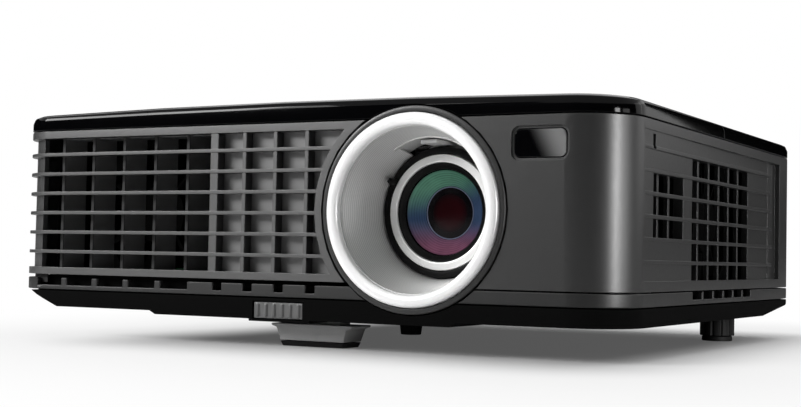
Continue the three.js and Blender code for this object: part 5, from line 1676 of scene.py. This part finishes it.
@dataclass
class Studio:
    """The pale floor, the soft lamps, the white surroundings and a dark flag in them."""

    floor_reach: float = 6000.0
    floor_colour: Triple = (0.9, 0.9, 0.9)
    floor_roughness: float = 0.35
    floor_specular: float = 0.3
    shade_centre: Pair = (35.0, 2.0)
    shade_half: Pair = (83.0, 117.0)
    near_span: Pair = (0.0, 68.0)
    near_share: float = 0.66
    rest_span: Pair = (30.0, 240.0)
    rest_share: float = 0.25
    least_share: float = 0.09
    flag_radius: float = 2400.0
    flag_top: float = 900.0
    flag_steps: int = 96
    flag_tone: int = 24
    ambient: float = 0.15

    def build(self) -> None:
        """Makes the floor, the flag, the world and the lamps."""
        self.floor()
        self.flag()
        self.world()
        middle, corner, side = (20, -100, 50), (138, -100, 55), (143, -60, 50)
        self.lamp("overhead", (0, 350, 1400), (0, 0, 40), (1600, 1400), 8.5)
        self.lamp("front_fill", (-760, -1050, 620), middle, (700, 600), 18.0, Reach.MATT)
        self.lamp("front_card", (-640, -1040, 520), middle, (420, 240), 3.0, Reach.GLOSS)
        self.lamp("left_card", (-903, -875, 537), middle, (500, 250), 10.0, Reach.GLOSS)
        self.lamp("corner_strip", (520, -200, 90), corner, (70, 160), 1.2, Reach.GLOSS)
        self.lamp("corner_edge", (560, -60, 90), corner, (120, 160), 0.28, Reach.GLOSS)
        self.lamp("side_card", (661, 375, 231), side, (250, 300), 0.35, Reach.GLOSS)
        self.lamp("rear_card", (476, 517, 266), side, (300, 300), 0.34, Reach.GLOSS)

    def flag(self) -> None:
        """A dark wall round the set, low on the horizon, that only gloss reflects."""
        angle = np.linspace(0, FULL_TURN, self.flag_steps, endpoint=False)
        ring = self.flag_radius * np.stack([np.cos(angle), np.sin(angle), 0 * angle], axis=1)
        points = np.concatenate([ring, ring + [0, 0, self.flag_top]])
        flag, graph = self.prop("dark_flag", points, grid_faces(2, self.flag_steps, loop=True))
        colour = (*grey(self.flag_tone), 1.0)
        cloth = graph.node("ShaderNodeBsdfDiffuse", inputs={"Color": colour})
        graph.node("ShaderNodeOutputMaterial", inputs={"Surface": cloth})
        flag.visible_camera = flag.visible_diffuse = flag.visible_shadow = False
        flag.visible_transmission = False

    @staticmethod
    def prop(name: str, points: np.ndarray, faces: Faces) -> tuple[bpy.types.Object, Graph]:
        """Makes a thing of the studio with an empty material.

        Args:
            name: Its name, and the material's.
            points: Its points in millimetres.
            faces: Its faces.

        Returns:
            The object and its material's graph.
        """
        mesh = bpy.data.meshes.new(name)
        mesh.from_pydata((points * MM).tolist(), [], faces)
        material, graph = fresh_material(name)
        mesh.materials.append(material)
        made = bpy.data.objects.new(name, mesh)
        bpy.context.scene.collection.objects.link(made)
        return made, graph

    def floor(self) -> None:
        """A flat floor with the part's shadow, and a painted shadow round it that fades to white
        away from it.

        The camera sees white by the distance from a rectangle under the part, which paints
        the shadow's shape: most of it within the near span, more by the end of the rest span,
        and a tenth of it under the part itself.
        """
        square = np.array([(-1, -1, 0), (1, -1, 0), (1, 1, 0), (-1, 1, 0)])
        floor, graph = self.prop("floor", self.floor_reach * square, [(0, 1, 2, 3)])
        x, y, _ = graph.axes(graph.place((*self.shade_centre, 0.0)))
        beside = (x.size() - self.shade_half[0]).least(0.0)
        ahead = (y.size() - self.shade_half[1]).least(0.0)
        away = (beside * beside + ahead * ahead).root()
        near, rest = away.ramp(*self.near_span), away.ramp(*self.rest_span)
        # Painted light and shadow: the share of white that the camera sees round the rectangle
        far = near * self.near_share + rest * self.rest_share + self.least_share
        seen = graph.node("ShaderNodeLightPath", output="Is Camera Ray")
        paper = graph.node(
            "ShaderNodeBsdfPrincipled",
            inputs={
                "Base Color": (*self.floor_colour, 1.0),
                "Roughness": self.floor_roughness,
                "Specular IOR Level": self.floor_specular,
            },
        )
        white = graph.node("ShaderNodeEmission", inputs={"Strength": 1.0})
        surface = graph.node("ShaderNodeMixShader", inputs={0: far * seen, 1: paper, 2: white})
        graph.node("ShaderNodeOutputMaterial", inputs={"Surface": surface})

    def world(self) -> None:
        """White where it is seen, mirrored or looked through, softer as a light."""
        world = bpy.data.worlds.new("surroundings")
        world.use_nodes = True
        bpy.context.scene.world = world
        graph = Graph(world.node_tree)
        camera = graph.node("ShaderNodeLightPath", output="Is Camera Ray")
        outputs = camera.socket.node.outputs
        glossy = Flow(graph, outputs["Is Glossy Ray"])
        through = Flow(graph, outputs["Is Transmission Ray"])
        shown = (camera + glossy + through) > 0.5
        strength = self.ambient + shown * (1.0 - self.ambient)
        white = (1.0, 1.0, 1.0, 1.0)
        light = graph.node("ShaderNodeBackground", inputs={"Color": white, "Strength": strength})
        graph.node("ShaderNodeOutputWorld", inputs={"Surface": light})

    def lamp(
        self,
        name: str,
        place: Triple,
        target: Triple,
        size: Pair,
        power: float,
        reach: Reach = Reach.BOTH,
    ) -> None:
        """Hangs a soft rectangular lamp.

        Args:
            name: The lamp's name.
            place: Where it hangs, in millimetres.
            target: What it points at.
            size: Its width and height.
            power: Its power in watts.
            reach: Which kind of shading it lights.
        """
        data = bpy.data.lights.new(name, "AREA")
        data.shape = "RECTANGLE"
        data.size, data.size_y = size[0] * MM, size[1] * MM
        data.energy = power
        lamp = bpy.data.objects.new(name, data)
        lamp.location = [v * MM for v in place]
        aim = Vector(target) - Vector(place)
        lamp.rotation_euler = aim.to_track_quat("-Z", "Y").to_euler()
        lamp.visible_diffuse = reach is not Reach.GLOSS
        lamp.visible_glossy = reach is not Reach.MATT
        bpy.context.scene.collection.objects.link(lamp)


@dataclass
class Viewpoint:
    """The camera at the photograph's viewing angle."""

    place: Triple = (309.8, -563.55, 36.2)
    azimuth: float = 27.915
    elevation: float = 2.261
    roll: float = 1.077
    lens: float = 61.67
    sensor: float = 36.0
    clip: Pair = (0.01, 50.0)
    shift: Pair = (-0.0569, 0.0012)

    def build(self) -> None:
        """Sets the camera up: its axes are worked out from the three angles."""
        az, el, roll = (math.radians(v) for v in (self.azimuth, self.elevation, self.roll))
        ahead = np.array([-math.sin(az) * math.cos(el), math.cos(az) * math.cos(el), math.sin(el)])
        level = np.array([math.cos(az), math.sin(az), 0.0])
        upright = np.cross(level, ahead)
        right = level * math.cos(roll) + upright * math.sin(roll)
        up = upright * math.cos(roll) - level * math.sin(roll)
        data = bpy.data.cameras.new("viewpoint")
        data.sensor_width = self.sensor
        data.lens = self.lens
        data.shift_x, data.shift_y = self.shift
        data.clip_start, data.clip_end = self.clip
        camera = bpy.data.objects.new("viewpoint", data)
        turn = Matrix(np.stack([right, up, -ahead], axis=1).tolist()).to_4x4()
        camera.matrix_world = Matrix.Translation([v * MM for v in self.place]) @ turn
        bpy.context.scene.collection.objects.link(camera)
        bpy.context.scene.camera = camera


def main() -> None:
    """Sets up the camera and the studio, then builds the projector's sub-assemblies."""
    logging.basicConfig(level=logging.INFO, format="%(name)s: %(message)s")
    bpy.context.scene.view_settings.view_transform = "Standard"
    Viewpoint().build()
    Studio().build()
    for assembly in (
        Casing(), Grille(), LensNest(), Window(), Keypad(), Feet(), RearBay(), Interior()
    ):
        assembly.build()
        log.info("%s done", type(assembly).__name__)


if __name__ == "__main__":
    main()
